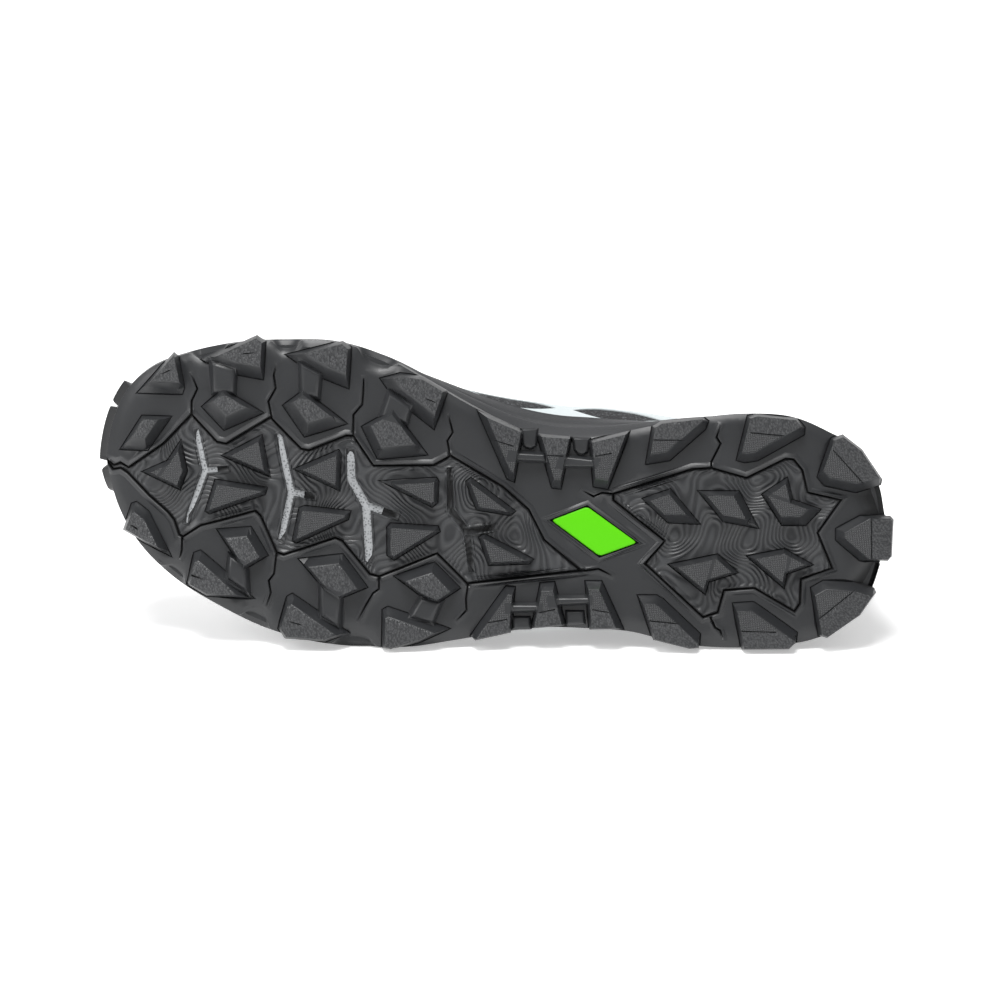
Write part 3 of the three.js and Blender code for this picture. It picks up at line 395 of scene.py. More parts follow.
def last_normal(u, t):
    """Directions away from the last: the cross product of its two slopes, level at its edge."""
    u, t = np.broadcast_arrays(np.asarray(u, float), np.asarray(t, float))
    step = 2e-3
    around = last_point(u + step, t) - last_point(u - step, t)
    rise = last_point(u, np.minimum(t + step, 1.0)) - last_point(u, np.maximum(t - step, 0.0))
    normal = -np.cross(around, rise)
    normal[..., 2] = np.where(t == 0.0, 0.0, normal[..., 2])
    near = np.minimum(u % 1.0, 1.0 - u % 1.0)
    along = last_point(np.minimum(near + step, 0.5), 1.0) - last_point(np.maximum(near - step, 0.0), 1.0)
    up = np.stack([-along[..., 2], 0.0 * along[..., 0], along[..., 0]], -1)
    normal = np.where((t >= 1.0)[..., None], up, normal)
    return normal / np.linalg.norm(normal, axis=-1, keepdims=True)


def on_last(u, t, offset):
    """The last's surface moved away from it by an offset."""
    offset = np.asarray(offset, float)
    return last_point(u, t) + last_normal(u, t) * offset[..., None]


def wall(point):
    """Thickness of the upper: thin over the foot, padded round the collar."""
    back = 1.0 - smooth(point[..., 0] / LENGTH, 0.28, 0.4)
    high = smooth((point[..., 2] - bed(point[..., 0])) / COLLAR_HEIGHT, 0.2, 0.5)
    return between(WALL, COLLAR_WALL, back * high)


def above_collar(point, drop=0.0):
    """How far a point lies above the collar's top edge, in mm."""
    at = (point[..., 0] - HEEL_SETBACK) / LAST_LENGTH
    top = bed(point[..., 0]) + COLLAR_HEIGHT * read(TOPLINE, "rise", at) - drop
    return point[..., 2] - COLLAR_TILT * point[..., 1] - top


def inside_throat(point, margin=0.0):
    """How far a point lies inside the throat, which is widened by a margin and round in front."""
    at = (point[..., 0] - HEEL_SETBACK) / LAST_LENGTH
    middle = LAST_WIDTH * read(SECTIONS, "shift", np.minimum(at, THROAT["to"]))
    aside = np.abs(point[..., 1] - middle)
    narrowing = smooth(at, THROAT["narrows"], THROAT["narrow"])
    half = between(THROAT["width"], THROAT["end_width"], narrowing) / 2 + margin
    ahead = np.maximum(0.0, at - THROAT["to"]) * LAST_LENGTH
    behind = (at - THROAT["from"]) * LAST_LENGTH + margin
    return np.minimum(half - np.hypot(aside, ahead), behind)


def climb_to(u, field, rows=241):
    """The lowest t at each u where a field over the last turns positive, or 1 where it never does."""
    t = np.linspace(0.0, 1.0, rows)
    value = field(last_point(u[:, None], t[None, :]))
    over = value > 0.0
    first = np.argmax(over, 1)
    found = over.any(1) & (first > 0)
    i = np.where(found, first, 1)
    low, high = value[np.arange(len(u)), i - 1], value[np.arange(len(u)), i]
    exact = t[i - 1] + (t[i] - t[i - 1]) * low / (low - high + 1e-12)
    return np.where(found, exact, np.where(over.any(1), 0.0, 1.0))


AROUND = 480
ROLL = 7
COLLAR_DROP = 1.6


def shell_between(u, low, high, outer, inner, rows, soft=(0.8, 0.8)):
    """Points and faces of a skin on the last from t = low to t = high at every u, between an outer
    and an inner offset. Rows go up the outside, round the upper edge, down the inside and round
    the lower edge; an edge rounds out by soft times half the skin's thickness. Where the skin
    reaches the ridge from both sides its upper edge is left open, and welding joins the sides."""
    v = np.linspace(0.0, 1.0, rows)[:, None]
    t = low + (high - low) * v
    on = last_point(u[None, :], t)
    outside = on_last(u[None, :], t, outer(on, v))
    inside = on_last(u[None, :], t, inner(on, v))

    def rounded(first, second, towards, share, shared):
        """Half a turn from the first edge to the second, square to the way along the edge."""
        across = first - second
        around = np.roll(first, -1, 0) - np.roll(first, 1, 0)
        out = np.cross(around, across)
        out *= np.sign(np.sum(out * towards, -1, keepdims=True) + 1e-12)
        out = np.where(np.linalg.norm(out, axis=-1, keepdims=True) < 1e-6, towards, out)
        out /= np.maximum(np.linalg.norm(out, axis=-1, keepdims=True), 1e-9)
        mirrored = np.roll(out[::-1], 1, 0)
        out = np.where(shared[:, None], (out + mirrored) / 2, out)
        angle = np.linspace(0.0, np.pi, ROLL)[1:-1, None, None]
        length = np.linalg.norm(across, axis=-1, keepdims=True) / 2 * share
        return (first + second) / 2 + across / 2 * np.cos(angle) + out * length * np.sin(angle)

    seam = high >= 1.0 - 1e-9
    top = rounded(outside[-1], inside[-1], outside[-1] - outside[-2], soft[1], seam)
    bottom = rounded(inside[0], outside[0], outside[0] - outside[1], soft[0], low >= 1.0 - 1e-9)
    points = np.concatenate([outside, top, inside[::-1], bottom])
    count, width = len(points), len(u)
    index = np.arange(count * width).reshape(count, width)
    index = np.concatenate([index, index[:1]])
    index = np.concatenate([index, index[:, :1]], 1)
    quads = np.stack([index[:-1, :-1], index[:-1, 1:], index[1:, 1:], index[1:, :-1]], -1)
    thin = high - low < 1e-6
    absent = thin & np.roll(thin, -1)
    joined = seam & np.roll(seam, -1)
    row = np.arange(count)[:, None]
    gone = absent[None, :] | (joined[None, :] & (row >= rows - 1) & (row < rows + ROLL - 2))
    return points, quads[~gone]


def fixed(thing, nodes=(), crisp=35.0, marks=None, face_marks=None):
    """Finishes a closed mesh and fixes it to the shoe: marks become point and face attributes, its
    doubles are welded, its faces turned outwards, and edges sharper than crisp degrees stay sharp."""
    for domain, layers in (("POINT", marks), ("FACE", face_marks)):
        for key, values in (layers or {}).items():
            layer = thing.data.attributes.new(key, "FLOAT", domain)
            layer.data.foreach_set("value", np.ascontiguousarray(values, np.float32).ravel())
    shell = bmesh.new()
    shell.from_mesh(thing.data)
    bmesh.ops.remove_doubles(shell, verts=shell.verts, dist=2e-6)
    bmesh.ops.dissolve_degenerate(shell, edges=shell.edges, dist=1e-6)
    loose = [vertex for vertex in shell.verts if not vertex.link_faces]
    bmesh.ops.delete(shell, geom=loose, context="VERTS")
    bmesh.ops.recalc_face_normals(shell, faces=shell.faces)
    shell.to_mesh(thing.data)
    shell.free()
    thing.data.shade_smooth()
    thing.data.set_sharp_from_angle(angle=math.radians(crisp))
    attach(thing, "root")
    if nodes:
        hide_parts(*nodes)
    return thing


def shoe_piece(name, points, faces, material, nodes=(), crisp=35.0, marks=None):
    """A piece from points of the standing shoe in mm."""
    thing = mesh_object(name, lay_down(np.asarray(points).reshape(-1, 3)), faces, material)
    return fixed(thing, nodes, crisp, marks)


def rim(x):
    """Height of the midsole's rim above the bed: high round the heel, low at the waist."""
    at = x / LENGTH
    front = between(5.0, 8.0, smooth(at, 0.45, 0.65))
    return between(12.0, front, smooth(at, 0.1, 0.36))


def above_rim(points):
    """How far points lie above the midsole's rim."""
    return points[..., 2] - bed(points[..., 0]) - rim(points[..., 0]) - GAP


around_last = np.arange(AROUND) / AROUND
collar_edge = climb_to(
    around_last, lambda p: np.maximum(above_collar(p, COLLAR_DROP), inside_throat(p)))

weave = Look("woven_mesh")
inner_side = weave.attribute("inside")
strands = weave.cells(1150.0)
holes = strands.ramp(0.25, 0.75)
speckle = weave.noise(900.0, 3.0).ramp(0.5, 0.68)
yarn = weave.mix(speckle, (0.016, 0.017, 0.019), (0.13, 0.135, 0.145))
yarn = weave.mix(holes * 0.7, yarn, (0.012, 0.012, 0.013))
band = weave.attribute("height").ramp(3.4, 2.9)
cover = weave.mix(band, yarn, (0.028, 0.029, 0.032))
lining = weave.mix(weave.noise(1500.0, 2.0), (0.02, 0.021, 0.023), (0.05, 0.052, 0.056))
weave_look = weave.finish(
    Base_Color=weave.mix(inner_side, cover, lining),
    Roughness=0.85 - band * 0.35,
    Normal=weave.bump((1.0 - strands) * (1.0 - band), 0.0004),
)
upper_points, upper_faces = shell_between(
    around_last, np.zeros(AROUND), collar_edge, lambda p, v: 0.0 * v, lambda p, v: -wall(p), 46,
    soft=(0.0, 0.8))
upper_rows = len(upper_points)
inside_mark = np.zeros((upper_rows, AROUND))
inside_mark[46 + 3:] = 1.0
upper = shoe_piece(
    "woven_upper", upper_points, upper_faces, weave_look, ["upper"],
    marks={"inside": inside_mark, "height": above_rim(upper_points)})

# Side film: a light film fused over the mesh from the midsole's rim to the eyelets, with almond
# windows in staggered rows through which the mesh shows. One sheet on each side.
FILM_THICK = 0.45
FILM_BOND = 0.04
FILM_FOOT = 3.0
FILM_ENDS = {"back": 62.0, "front": 232.0, "back_fade": 34.0, "front_fade": 26.0}
WINDOW = {"half": 17.5, "high": 6.9, "pitch": 41.0, "row": 12.6, "first": 7.6, "start": 6.5, "margin": 1.6}
EYESTAY_WIDTH = 11.0


def within(loop, points):
    """Whether points lie inside a closed loop: an odd number of its edges cross to their right."""
    x, y = points[:, 0, None], points[:, 1, None]
    (x0, y0), (x1, y1) = loop.T, np.roll(loop, -1, 0).T
    spans = (y0[None] > y) != (y1[None] > y)
    crossing = x0 + (y - y0) * (x1 - x0) / np.where(y1 == y0, 1e-12, y1 - y0)
    return (spans & (x < crossing)).sum(1) % 2 == 1


def fill(loops, spread):
    """Points and triangles of the plane with closed loops as edges and spread points between."""
    starts = np.cumsum([0] + [len(loop) for loop in loops])
    edges = []
    for start, loop in zip(starts, loops):
        index = np.arange(len(loop))
        edges.append(np.stack([index, (index + 1) % len(loop)], 1) + start)
    points = np.concatenate(list(loops) + [spread])
    made = geometry.delaunay_2d_cdt(
        [Vector(p) for p in points.tolist()], np.concatenate(edges).tolist(), [], 0, 1e-5)
    return np.array(made[0]), np.array([list(face) for face in made[2]])


def grid_points(low, high, step):
    """Points of an even staggered grid over a rectangle."""
    x, y = np.arange(low[0], high[0], step), np.arange(low[1], high[1], step * 0.87)
    grid = np.stack(np.meshgrid(x, y), -1)
    grid[1::2, :, 0] += step / 2
    return grid.reshape(-1, 2)


def boundary(triangles):
    """Edges of triangles that only one of them has, each from its start to its end."""
    edges = np.concatenate([triangles[:, [0, 1]], triangles[:, [1, 2]], triangles[:, [2, 0]]])
    width = edges.max() + 1
    codes, reverse = edges[:, 0] * width + edges[:, 1], edges[:, 1] * width + edges[:, 0]
    return edges[~np.isin(codes, reverse)]


def eased(t):
    """Each value's average with the three on both sides of it, all round the shoe."""
    return np.mean([np.roll(t, shift) for shift in range(-3, 4)], 0)


SKIRT = np.linspace(0.0, 1.0, 91)


def run_up(u):
    """Lines up the last at each u, and how far in mm each has run at every t of SKIRT."""
    lines = last_point(u[:, None], SKIRT[None, :])
    step = np.linalg.norm(np.diff(lines, axis=1), axis=-1)
    return lines, np.concatenate([np.zeros((len(u), 1)), np.cumsum(step, 1)], 1)


stay_top = climb_to(
    around_last, lambda p: np.maximum(above_collar(p, COLLAR_DROP), inside_throat(p, 1.0)))
stay_band = np.array([np.interp(np.interp(t, SKIRT, run) - EYESTAY_WIDTH, run, SKIRT)
                      for t, run in zip(stay_top, run_up(around_last)[1])])
stay_low = climb_to(around_last, lambda p: inside_throat(p, EYESTAY_WIDTH))
stay_low = np.where(stay_top < 0.9, np.maximum(stay_low, stay_band), stay_low)
stay_low = np.where(stay_low < 0.84, eased(stay_low), stay_low)
film_look = Look("fused_film")
film_grain = film_look.noise(700.0, 2.0)
film_finish = film_look.finish(
    Base_Color=film_look.mix(film_grain, (0.52, 0.57, 0.58), (0.6, 0.65, 0.66)),
    Roughness=0.42,
    Normal=film_look.bump(film_grain, 0.00008),
)


def climbed(u, length):
    """t at which the line up from the rim has run a length in mm, at each u."""
    lines, run = run_up(u)
    over = above_rim(lines)
    first = np.clip((over < 0.0).sum(1), 1, len(SKIRT) - 1)
    rows = np.arange(len(u))
    share = -over[rows, first - 1] / (over[rows, first] - over[rows, first - 1])
    start = between(run[rows, first - 1], run[rows, first], np.clip(share, 0.0, 1.0))
    target = start + length
    i = np.clip((run < target[:, None]).sum(1), 1, len(SKIRT) - 1)
    part = (target - run[rows, i - 1]) / (run[rows, i] - run[rows, i - 1])
    return between(SKIRT[i - 1], SKIRT[i], np.clip(part, 0.0, 1.0))


for side, mirror in (("medial", 0), ("lateral", 1)):
    strip = np.linspace(0.004, 0.496, 400)
    strip = 1.0 - strip if mirror else strip
    foot_line = outline(LAST, strip)
    along = np.concatenate([[0.0], np.cumsum(np.linalg.norm(np.diff(foot_line, axis=0), axis=1))])
    from_a, to_a = np.interp([FILM_ENDS["back"], FILM_ENDS["front"]], foot_line[:, 0], along)
    sample = np.arange(from_a, to_a, 3.0)
    sample_u = np.interp(sample, along, strip)
    stay = np.interp(sample_u, around_last, stay_low)
    lines, run = run_up(sample_u)
    top = np.array([np.interp(t, SKIRT, r) for t, r in zip(stay, run)])
    foot = np.array([np.interp(0.0, above_rim(line)[:60], r[:60]) for line, r in zip(lines, run)])
    shut = smooth(sample, from_a, from_a + FILM_ENDS["back_fade"])
    shut = shut * (1.0 - smooth(sample, to_a - FILM_ENDS["front_fade"], to_a))
    height = np.maximum(FILM_FOOT + 0.4, between(FILM_FOOT + 0.2, top - foot + 2.0, shut))
    edge = np.concatenate([np.stack([sample, 0.0 * sample + FILM_FOOT], 1),
                           np.stack([sample, height], 1)[::-1]])
    turn = np.linspace(0.0, 1.0, 15)[:-1]
    almond = np.concatenate([
        np.stack([between(-1, 1, turn), -(1 - between(-1, 1, turn) ** 2)], 1),
        np.stack([between(1, -1, turn), 1 - between(1, -1, turn) ** 2], 1),
    ]) * (WINDOW["half"], WINDOW["high"])
    windows = []
    for row in range(12):
        for place in range(8):
            middle = (from_a + WINDOW["start"] + WINDOW["pitch"] * (place + row % 2 / 2),
                      WINDOW["first"] + FILM_FOOT + WINDOW["row"] * row)
            window = almond + middle
            room = np.interp(window[:, 0], sample, height, left=0.0, right=0.0)
            if np.all(window[:, 1] < room - WINDOW["margin"]):
                windows.append(window)
    spread = grid_points((from_a, FILM_FOOT), (to_a, height.max()), 4.0)
    plan, triangles = fill([edge] + windows, spread)
    middles = plan[triangles].mean(1)
    keep = within(edge, middles)
    for window in windows:
        keep &= ~within(window, middles)
    triangles = triangles[keep]
    film_u = np.interp(plan[:, 0], along, strip)
    film_t = climbed(film_u, plan[:, 1])
    rims = boundary(triangles)
    close = np.concatenate([
        np.stack([rims[:, 1], rims[:, 0], rims[:, 0] + len(plan)], 1),
        np.stack([rims[:, 1], rims[:, 0] + len(plan), rims[:, 1] + len(plan)], 1),
    ])
    film_points = np.concatenate([on_last(film_u, film_t, FILM_THICK + 0.0 * film_u),
                                  on_last(film_u, film_t, FILM_BOND + 0.0 * film_u)])
    film_faces = np.concatenate([triangles, triangles[:, ::-1] + len(plan), close])
    shoe_piece(f"side_film_{side}", film_points, film_faces, film_finish)

# Toe cap: a thicker dark rubber film fused round the toe, to keep stones off it.
# It tapers out along both sides of the ball.
TOE_CAP_HEIGHT = 17.0
CAP_THICK = 1.35
ON_FILM = 0.5


def edge_taper(v, thick, soft=0.12):
    """Thickness of a film: rounded down to a third at its lower and upper edges."""
    side = np.minimum(1.0, np.minimum(v, 1.0 - v) / soft)
    return thick * (0.35 + 0.65 * np.sqrt(1.0 - (1.0 - side) ** 2))


def over_rim(height, from_at, full_at, low):
    """Field of a band's upper edge: a height above the rim, from a low share to all of it."""
    def field(p):
        share = between(low, 1.0, smooth(p[..., 0] / LENGTH, from_at, full_at))
        return above_rim(p) - height * share
    return field


rim_edge = climb_to(around_last, above_rim)
cap_look = Look("cap_rubber")
cap_grain = cap_look.cells(1600.0)
cap_finish = cap_look.finish(
    Base_Color=cap_look.mix(cap_grain, (0.024, 0.025, 0.027), (0.04, 0.042, 0.045)),
    Roughness=0.5,
    Normal=cap_look.bump(cap_grain, 0.0001),
)
cap_top = climb_to(around_last, over_rim(TOE_CAP_HEIGHT, 0.72, 0.92, 0.25))
cap_x = outline(LAST, around_last)[:, 0] / LENGTH
cap_top = between(rim_edge, np.maximum(cap_top, rim_edge), smooth(cap_x, 0.7, 0.74))
cap_points, cap_faces = shell_between(
    around_last, rim_edge, cap_top, lambda p, v: edge_taper(v, CAP_THICK), lambda p, v: 0.0 * v + ON_FILM, 16)
shoe_piece("toe_cap_film", cap_points, cap_faces, cap_finish, ["toe_cap"])

# Heel counter: a stiff cup, here a fused cover of the same rubber film, that holds the heel and
# falls away to the waist.
COUNTER_HEIGHT = 33.0
cup_top = climb_to(around_last, over_rim(COUNTER_HEIGHT, 0.26, 0.03, 0.3))
cup_top = between(rim_edge, np.maximum(cup_top, rim_edge), 1.0 - smooth(cap_x, 0.25, 0.29))
cup_points, cup_faces = shell_between(
    around_last, rim_edge, cup_top, lambda p, v: edge_taper(v, CAP_THICK), lambda p, v: 0.0 * v + ON_FILM, 22)
shoe_piece("heel_cup_film", cup_points, cup_faces, cap_finish, ["heel_counter"])

# Eyestay: the film doubled along both edges of the throat. Its six eyelets on each side are not punched
# through; each is shown by a pressed rim made below.
STAY_THICK = 1.2
stay_points, stay_faces = shell_between(
    around_last, np.minimum(stay_low, stay_top), stay_top,
    lambda p, v: edge_taper(v, STAY_THICK, 0.2), lambda p, v: 0.0 * v + ON_FILM, 12)
shoe_piece("eyelet_film", stay_points, stay_faces, film_finish, ["eyestay"])

# Tongue: a padded flap of dark fabric under the throat, with a rounded edge, that stands out of
# the collar. Its foam is sewn in between two layers.
TONGUE_WALL = 5.0
TONGUE_WIDTH = 58.0
TONGUE_LEAST = 0.47
TONGUE = np.array([
    (0.275, 0.55), (0.285, 0.8), (0.31, 0.95), (0.4, 0.92), (0.55, 0.8), (0.66, 0.65), (0.67, 0.45),
], dtype=[("at", float), ("half", float)])


def inside_tongue(points):
    """How far points lie inside the tongue's plan."""
    at = (points[..., 0] - HEEL_SETBACK) / LAST_LENGTH
    aside = np.abs(points[..., 1] - LAST_WIDTH * read(SECTIONS, "shift", at))
    ends = np.minimum(at - TONGUE["at"][0], TONGUE["at"][-1] - at) * LAST_LENGTH
    return np.minimum(read(TONGUE, "half", at) * TONGUE_WIDTH / 2 - aside, ends)


padding = Look("padded_fabric")
fibres = padding.noise(1400.0, 2.0)
rows_of_knit = (padding.noise(240.0, 1.0) * 60.0).sine()
padding_look = padding.finish(
    Base_Color=padding.mix(fibres, (0.02, 0.021, 0.023), (0.055, 0.057, 0.062)),
    Roughness=0.9,
    Normal=padding.bump(fibres + rows_of_knit * 0.3, 0.0002),
)
tongue_low = np.maximum(climb_to(around_last, inside_tongue), TONGUE_LEAST)
tongue_points, tongue_faces = shell_between(
    around_last, tongue_low, np.ones(AROUND),
    lambda p, v: -wall(p) - GAP - 0.25 * TONGUE_WALL * (1.0 - smooth(v, 0.0, 0.2)),
    lambda p, v: -wall(p) - GAP - TONGUE_WALL * (0.6 + 0.4 * smooth(v, 0.0, 0.2)), 14)
tongue = shoe_piece(
    "padded_tongue", tongue_points, tongue_faces, padding_look, ["tongue"])

# Laces: one flat woven cord, straight across at the vamp and crossed between each two rows of
# eyelets. Each eyelet has a pressed rim round it.
LACE_WIDTH = 5.5
LACE_THICK = 1.7
CORD_WEAVE = 4.2
EYELET_ROWS = 6
LACING = {"first": 0.575, "last": 0.372}
OVERLAY = 1.2

grid_u, grid_t = np.arange(240) / 240, np.linspace(0.0, 1.0, 60)
skin_points = last_point(grid_u[None, :], grid_t[:, None]).reshape(-1, 3)
skin = BVHTree.FromPolygons(skin_points.tolist(), grid_faces(60, 240, True).tolist())


def seat(at, side, lift):
    """A place on the upper over a plan place beside the throat, lifted off it, and the way out."""
    half = between(THROAT["width"], THROAT["end_width"], smooth(at, THROAT["narrows"], THROAT["narrow"]))
    y = LAST_WIDTH * read(SECTIONS, "shift", np.array(at)) + side * (half + EYESTAY_WIDTH) / 2
    hit, normal, face, distance = skin.ray_cast(
        Vector((HEEL_SETBACK + at * LAST_LENGTH, y, 300.0)), Vector((0.0, 0.0, -1.0)))
    normal = np.array(normal) * (1.0 if normal.z > 0 else -1.0)
    return np.array(hit) + normal * lift, normal


cord_points, cord_faces, cord_along, cord_across = [], [], [], []
rows_at = [between(LACING["first"], LACING["last"], row / (EYELET_ROWS - 1)) for row in range(EYELET_ROWS)]
bars = [(rows_at[0], 1, rows_at[0], 0.0)]
for row in range(EYELET_ROWS - 1):
    bars += [(rows_at[row], 1, rows_at[row + 1], 0.0), (rows_at[row], -1, rows_at[row + 1], 0.9)]
turn = np.arange(14) / 14 * 2 * np.pi
for start_at, start_side, end_at, over in bars:
    shares = np.concatenate([[1.06, 1.03], np.linspace(1.0, -1.0, 27), [-1.03, -1.06]])
    path, ways = [], []
    for share in shares:
        at = between(start_at, end_at, (1 - np.clip(share, -1, 1)) / 2)
        crossing = max(0.0, 1.0 - (share / 0.35) ** 2)
        end = smooth(abs(share), 0.9, 1.06)
        lift = between(OVERLAY + 0.6 + LACE_THICK / 2, -0.4, end) + over * crossing
        lift -= 1.4 * smooth(0.62 - abs(share), 0.0, 0.45) * (1.0 - over)
        place, way = seat(at, start_side * np.clip(share, -1.03, 1.03), lift)
        path.append(place)
        ways.append(way)
    path, ways = np.array(path), np.array(ways)
    along = np.gradient(path, axis=0)
    along /= np.linalg.norm(along, axis=1, keepdims=True)
    sideways = np.cross(along, ways)
    sideways /= np.linalg.norm(sideways, axis=1, keepdims=True)
    way = np.cross(sideways, along)
    wide = np.sign(np.cos(turn)) * np.abs(np.cos(turn)) ** 0.6 * LACE_WIDTH / 2
    thick = np.sign(np.sin(turn)) * np.abs(np.sin(turn)) ** 0.7 * LACE_THICK / 2
    rings = path[:, None] + sideways[:, None] * wide[None, :, None] + way[:, None] * thick[None, :, None]
    count, first = len(path), sum(len(part) for part in cord_points)
    cord_points.append(rings.reshape(-1, 3))
    cord_faces += (grid_faces(count, 14, True) + first).tolist()
    cord_faces += [list(range(first, first + 14)), list(range(first + (count - 1) * 14, first + count * 14))]
    run = np.concatenate([[0.0], np.cumsum(np.linalg.norm(np.diff(path, axis=0), axis=1))])
    cord_along.append(np.repeat(run, 14))
    cord_across.append(np.tile(wide, count))
cord = Look("woven_cord")
lengthways, crossways = cord.attribute("along") * CORD_WEAVE, cord.attribute("across") * CORD_WEAVE
strand = (lengthways + crossways).sine() * (lengthways - crossways).sine()
cord_look = cord.finish(
    Base_Color=cord.mix(strand.ramp(-0.6, 0.8), (0.016, 0.0165, 0.018), (0.06, 0.062, 0.066)),
    Roughness=0.85,
    Normal=cord.bump(strand, 0.0002),
)
shoe_piece(
    "flat_laces", np.concatenate(cord_points), cord_faces, cord_look, ["laces"], 60.0,
    {"along": np.concatenate(cord_along), "across": np.concatenate(cord_across)})

# Eyelet rims: pressed rings of the same dark rubber film as the cap, one round each eyelet, fused
# on with the film.
RIM_RADIUS = 3.0
RIM_TUBE = 0.7
rim_points, rim_faces = [], []
for at in rows_at:
    for side in (1, -1):
        place, way = seat(at, side * 1.0, OVERLAY + 0.05)
        first_way = np.cross(way, (0.0, 1.0, 0.0))
        first_way /= np.linalg.norm(first_way)
        other_way = np.cross(way, first_way)
        around, tube = np.meshgrid(
            np.arange(24) / 24 * 2 * np.pi, np.arange(8) / 8 * 2 * np.pi, indexing="ij")
        radius = RIM_RADIUS + RIM_TUBE * np.cos(tube)
        ring = (place + first_way * (radius * np.cos(around))[..., None]
                + other_way * (radius * np.sin(around))[..., None]
                + way * (0.6 * RIM_TUBE * np.sin(tube))[..., None])
        first = 24 * 8 * len(rim_points)
        wrapped = np.arange(24 * 8).reshape(24, 8)
        wrapped = np.concatenate([wrapped, wrapped[:1]])
        wrapped = np.concatenate([wrapped, wrapped[:, :1]], 1)
        quads = np.stack([wrapped[:-1, :-1], wrapped[:-1, 1:], wrapped[1:, 1:], wrapped[1:, :-1]], -1)
        rim_faces += (quads.reshape(-1, 4) + first).tolist()
        rim_points.append(ring.reshape(-1, 3))
shoe_piece("eyelet_rims", np.concatenate(rim_points), rim_faces, cap_finish)

# Insole: a thin foam pad under brushed fabric, cut to the upper's lower edge and cupped a little.
# It lies loose on the foot's bed.
INSOLE = 4.0
INSOLE_MARGIN = 0.3


def to_midline(ring, share):
    """A ring's plan drawn in by a share towards the line midway between its two sides."""
    mirrored = np.roll(ring[::-1], 1, 0)
    return between(ring, (ring + mirrored) / 2, share)


def stacked(rings):
    """Points and faces of a form from rings, each joined round and to the next; it is closed where the first
    and last rings were drawn in to a midline.
    """
    return np.array(rings), grid_faces(len(rings), len(rings[0]), True)


def at_height(plan, height):
    """Plan places at heights."""
    return np.concatenate([plan, np.broadcast_to(height, plan.shape[:1])[:, None]], 1)


pad_edge = on_last(around_last, 0.0 * around_last, -WALL - GAP - INSOLE_MARGIN + 0.0 * around_last)[:, :2]
pad_rings = []
for share, rise in (
    (1, 0.025), (0.6, 0.025), (0, 0.025), (-0.008, 0.3), (-0.008, 0.8), (0, 1.1), (0.03, 1.15),
    (0.12, 1.0), (0.35, 1.0), (0.7, 1.0), (1, 1.0),
):
    ring = to_midline(pad_edge, share)
    pad_rings.append(at_height(ring, bed(ring[:, 0]) + INSOLE * rise))
pad_points, pad_faces = stacked(pad_rings)
insole = shoe_piece("foam_insole", pad_points, pad_faces, padding_look, ["insole"])

# Midsole: one moulded foam body that fills the tray, steps out over its lip and rises to a rim
# round the upper. Its side is sculpted by a groove that runs all round.
LUG_HEIGHT = 5.0
PLATE = 3.0
HEEL_BEVEL = 4.0
ARCH_RISE = 2.5
RIM_WALL = 2.2
MIDSOLE_STEP = 1.4
TRAY_INSET = 2.5
LIP = {"side": 3.0, "toe": 11.0, "from": 0.93, "to": 0.985}
SIDE = np.array([(0, -0.2), (0.12, 0.6), (0.42, 0.9), (0.5, -0.5), (0.62, 0.4), (1, 0)],
                dtype=[("at", float), ("out", float)])


def plate_bottom(x):
    """Height of the sole plate's underside: the toe's lift, the heel's bevel, the arch and a lug."""
    at = x / LENGTH
    heel = np.maximum(0.0, 0.13 - at) / 0.13
    arch = smooth(at, 0.3, 0.4) - smooth(at, 0.46, 0.56)
    return toe_lift(x) + HEEL_BEVEL * heel ** 2 + ARCH_RISE * arch + LUG_HEIGHT


def lip(x):
    """Height that the outsole's lip climbs the midsole, highest round the toe."""
    return between(LIP["side"], LIP["toe"], smooth(x / LENGTH, LIP["from"], LIP["to"]))


SOLE = outline_corners(0.0, LENGTH, BALL_WIDTH, "medial", "lateral")
even = np.zeros(AROUND)
tray = outline(SOLE, around_last, even + TRAY_INSET)
rim_line = on_last(around_last, rim_edge, even)
outwards = on_last(around_last, even, even + 1.0) - on_last(around_last, even, even)
outwards[:, 2] = 0.0
rings = [at_height(to_midline(tray, share), plate_bottom(to_midline(tray, share)[:, 0]) + PLATE + GAP)
         for share in (1.0, 0.5, 0.0)]
low = outline(SOLE, around_last, even + MIDSOLE_STEP)
lip_top = plate_bottom(low[:, 0]) + PLATE + lip(low[:, 0]) + GAP
rings.append(at_height(tray, lip_top))
rim_out = rim_line + outwards * (GAP + RIM_WALL)
side_way = outline(SOLE, around_last) - outline(SOLE, around_last, even + 1.0)
for rise in np.linspace(0.0, 0.97, 34):
    bulge = MIDSOLE_STEP * read(SIDE, "out", np.array(rise))
    plan_place = between(low, rim_out[:, :2], rise) + side_way * bulge
    rings.append(at_height(plan_place, between(lip_top, rim_out[:, 2], rise)))
rim_in = rim_line + outwards * GAP
for angle in np.linspace(0.15, np.pi - 0.15, 6):
    place = (rim_out + rim_in) / 2 + (rim_out - rim_in) / 2 * np.cos(angle)
    place[:, 2] += 0.5 * RIM_WALL * np.sin(angle) - 0.5
    rings.append(place)
for share in (0.75, 0.5, 0.25, 0.0):
    rings.append(on_last(around_last, rim_edge * share, even + GAP))
inner_edge = rings[-1][:, :2]
for share in (0.02, 0.3, 0.6, 1.0):
    ring = to_midline(inner_edge, share)
    rings.append(at_height(ring, bed(ring[:, 0]) - GAP))
foam = Look("moulded_foam")
cell = foam.cells(900.0)
foam_look = foam.finish(
    Base_Color=foam.mix(foam.noise(90.0, 3.0), (0.024, 0.025, 0.027), (0.033, 0.034, 0.037)),
    Roughness=0.62,
    Normal=foam.bump(cell, 0.00008),
)
midsole_points, midsole_faces = stacked(rings)
shoe_piece("foam_midsole", midsole_points, midsole_faces, foam_look, ["midsole"], 40.0)

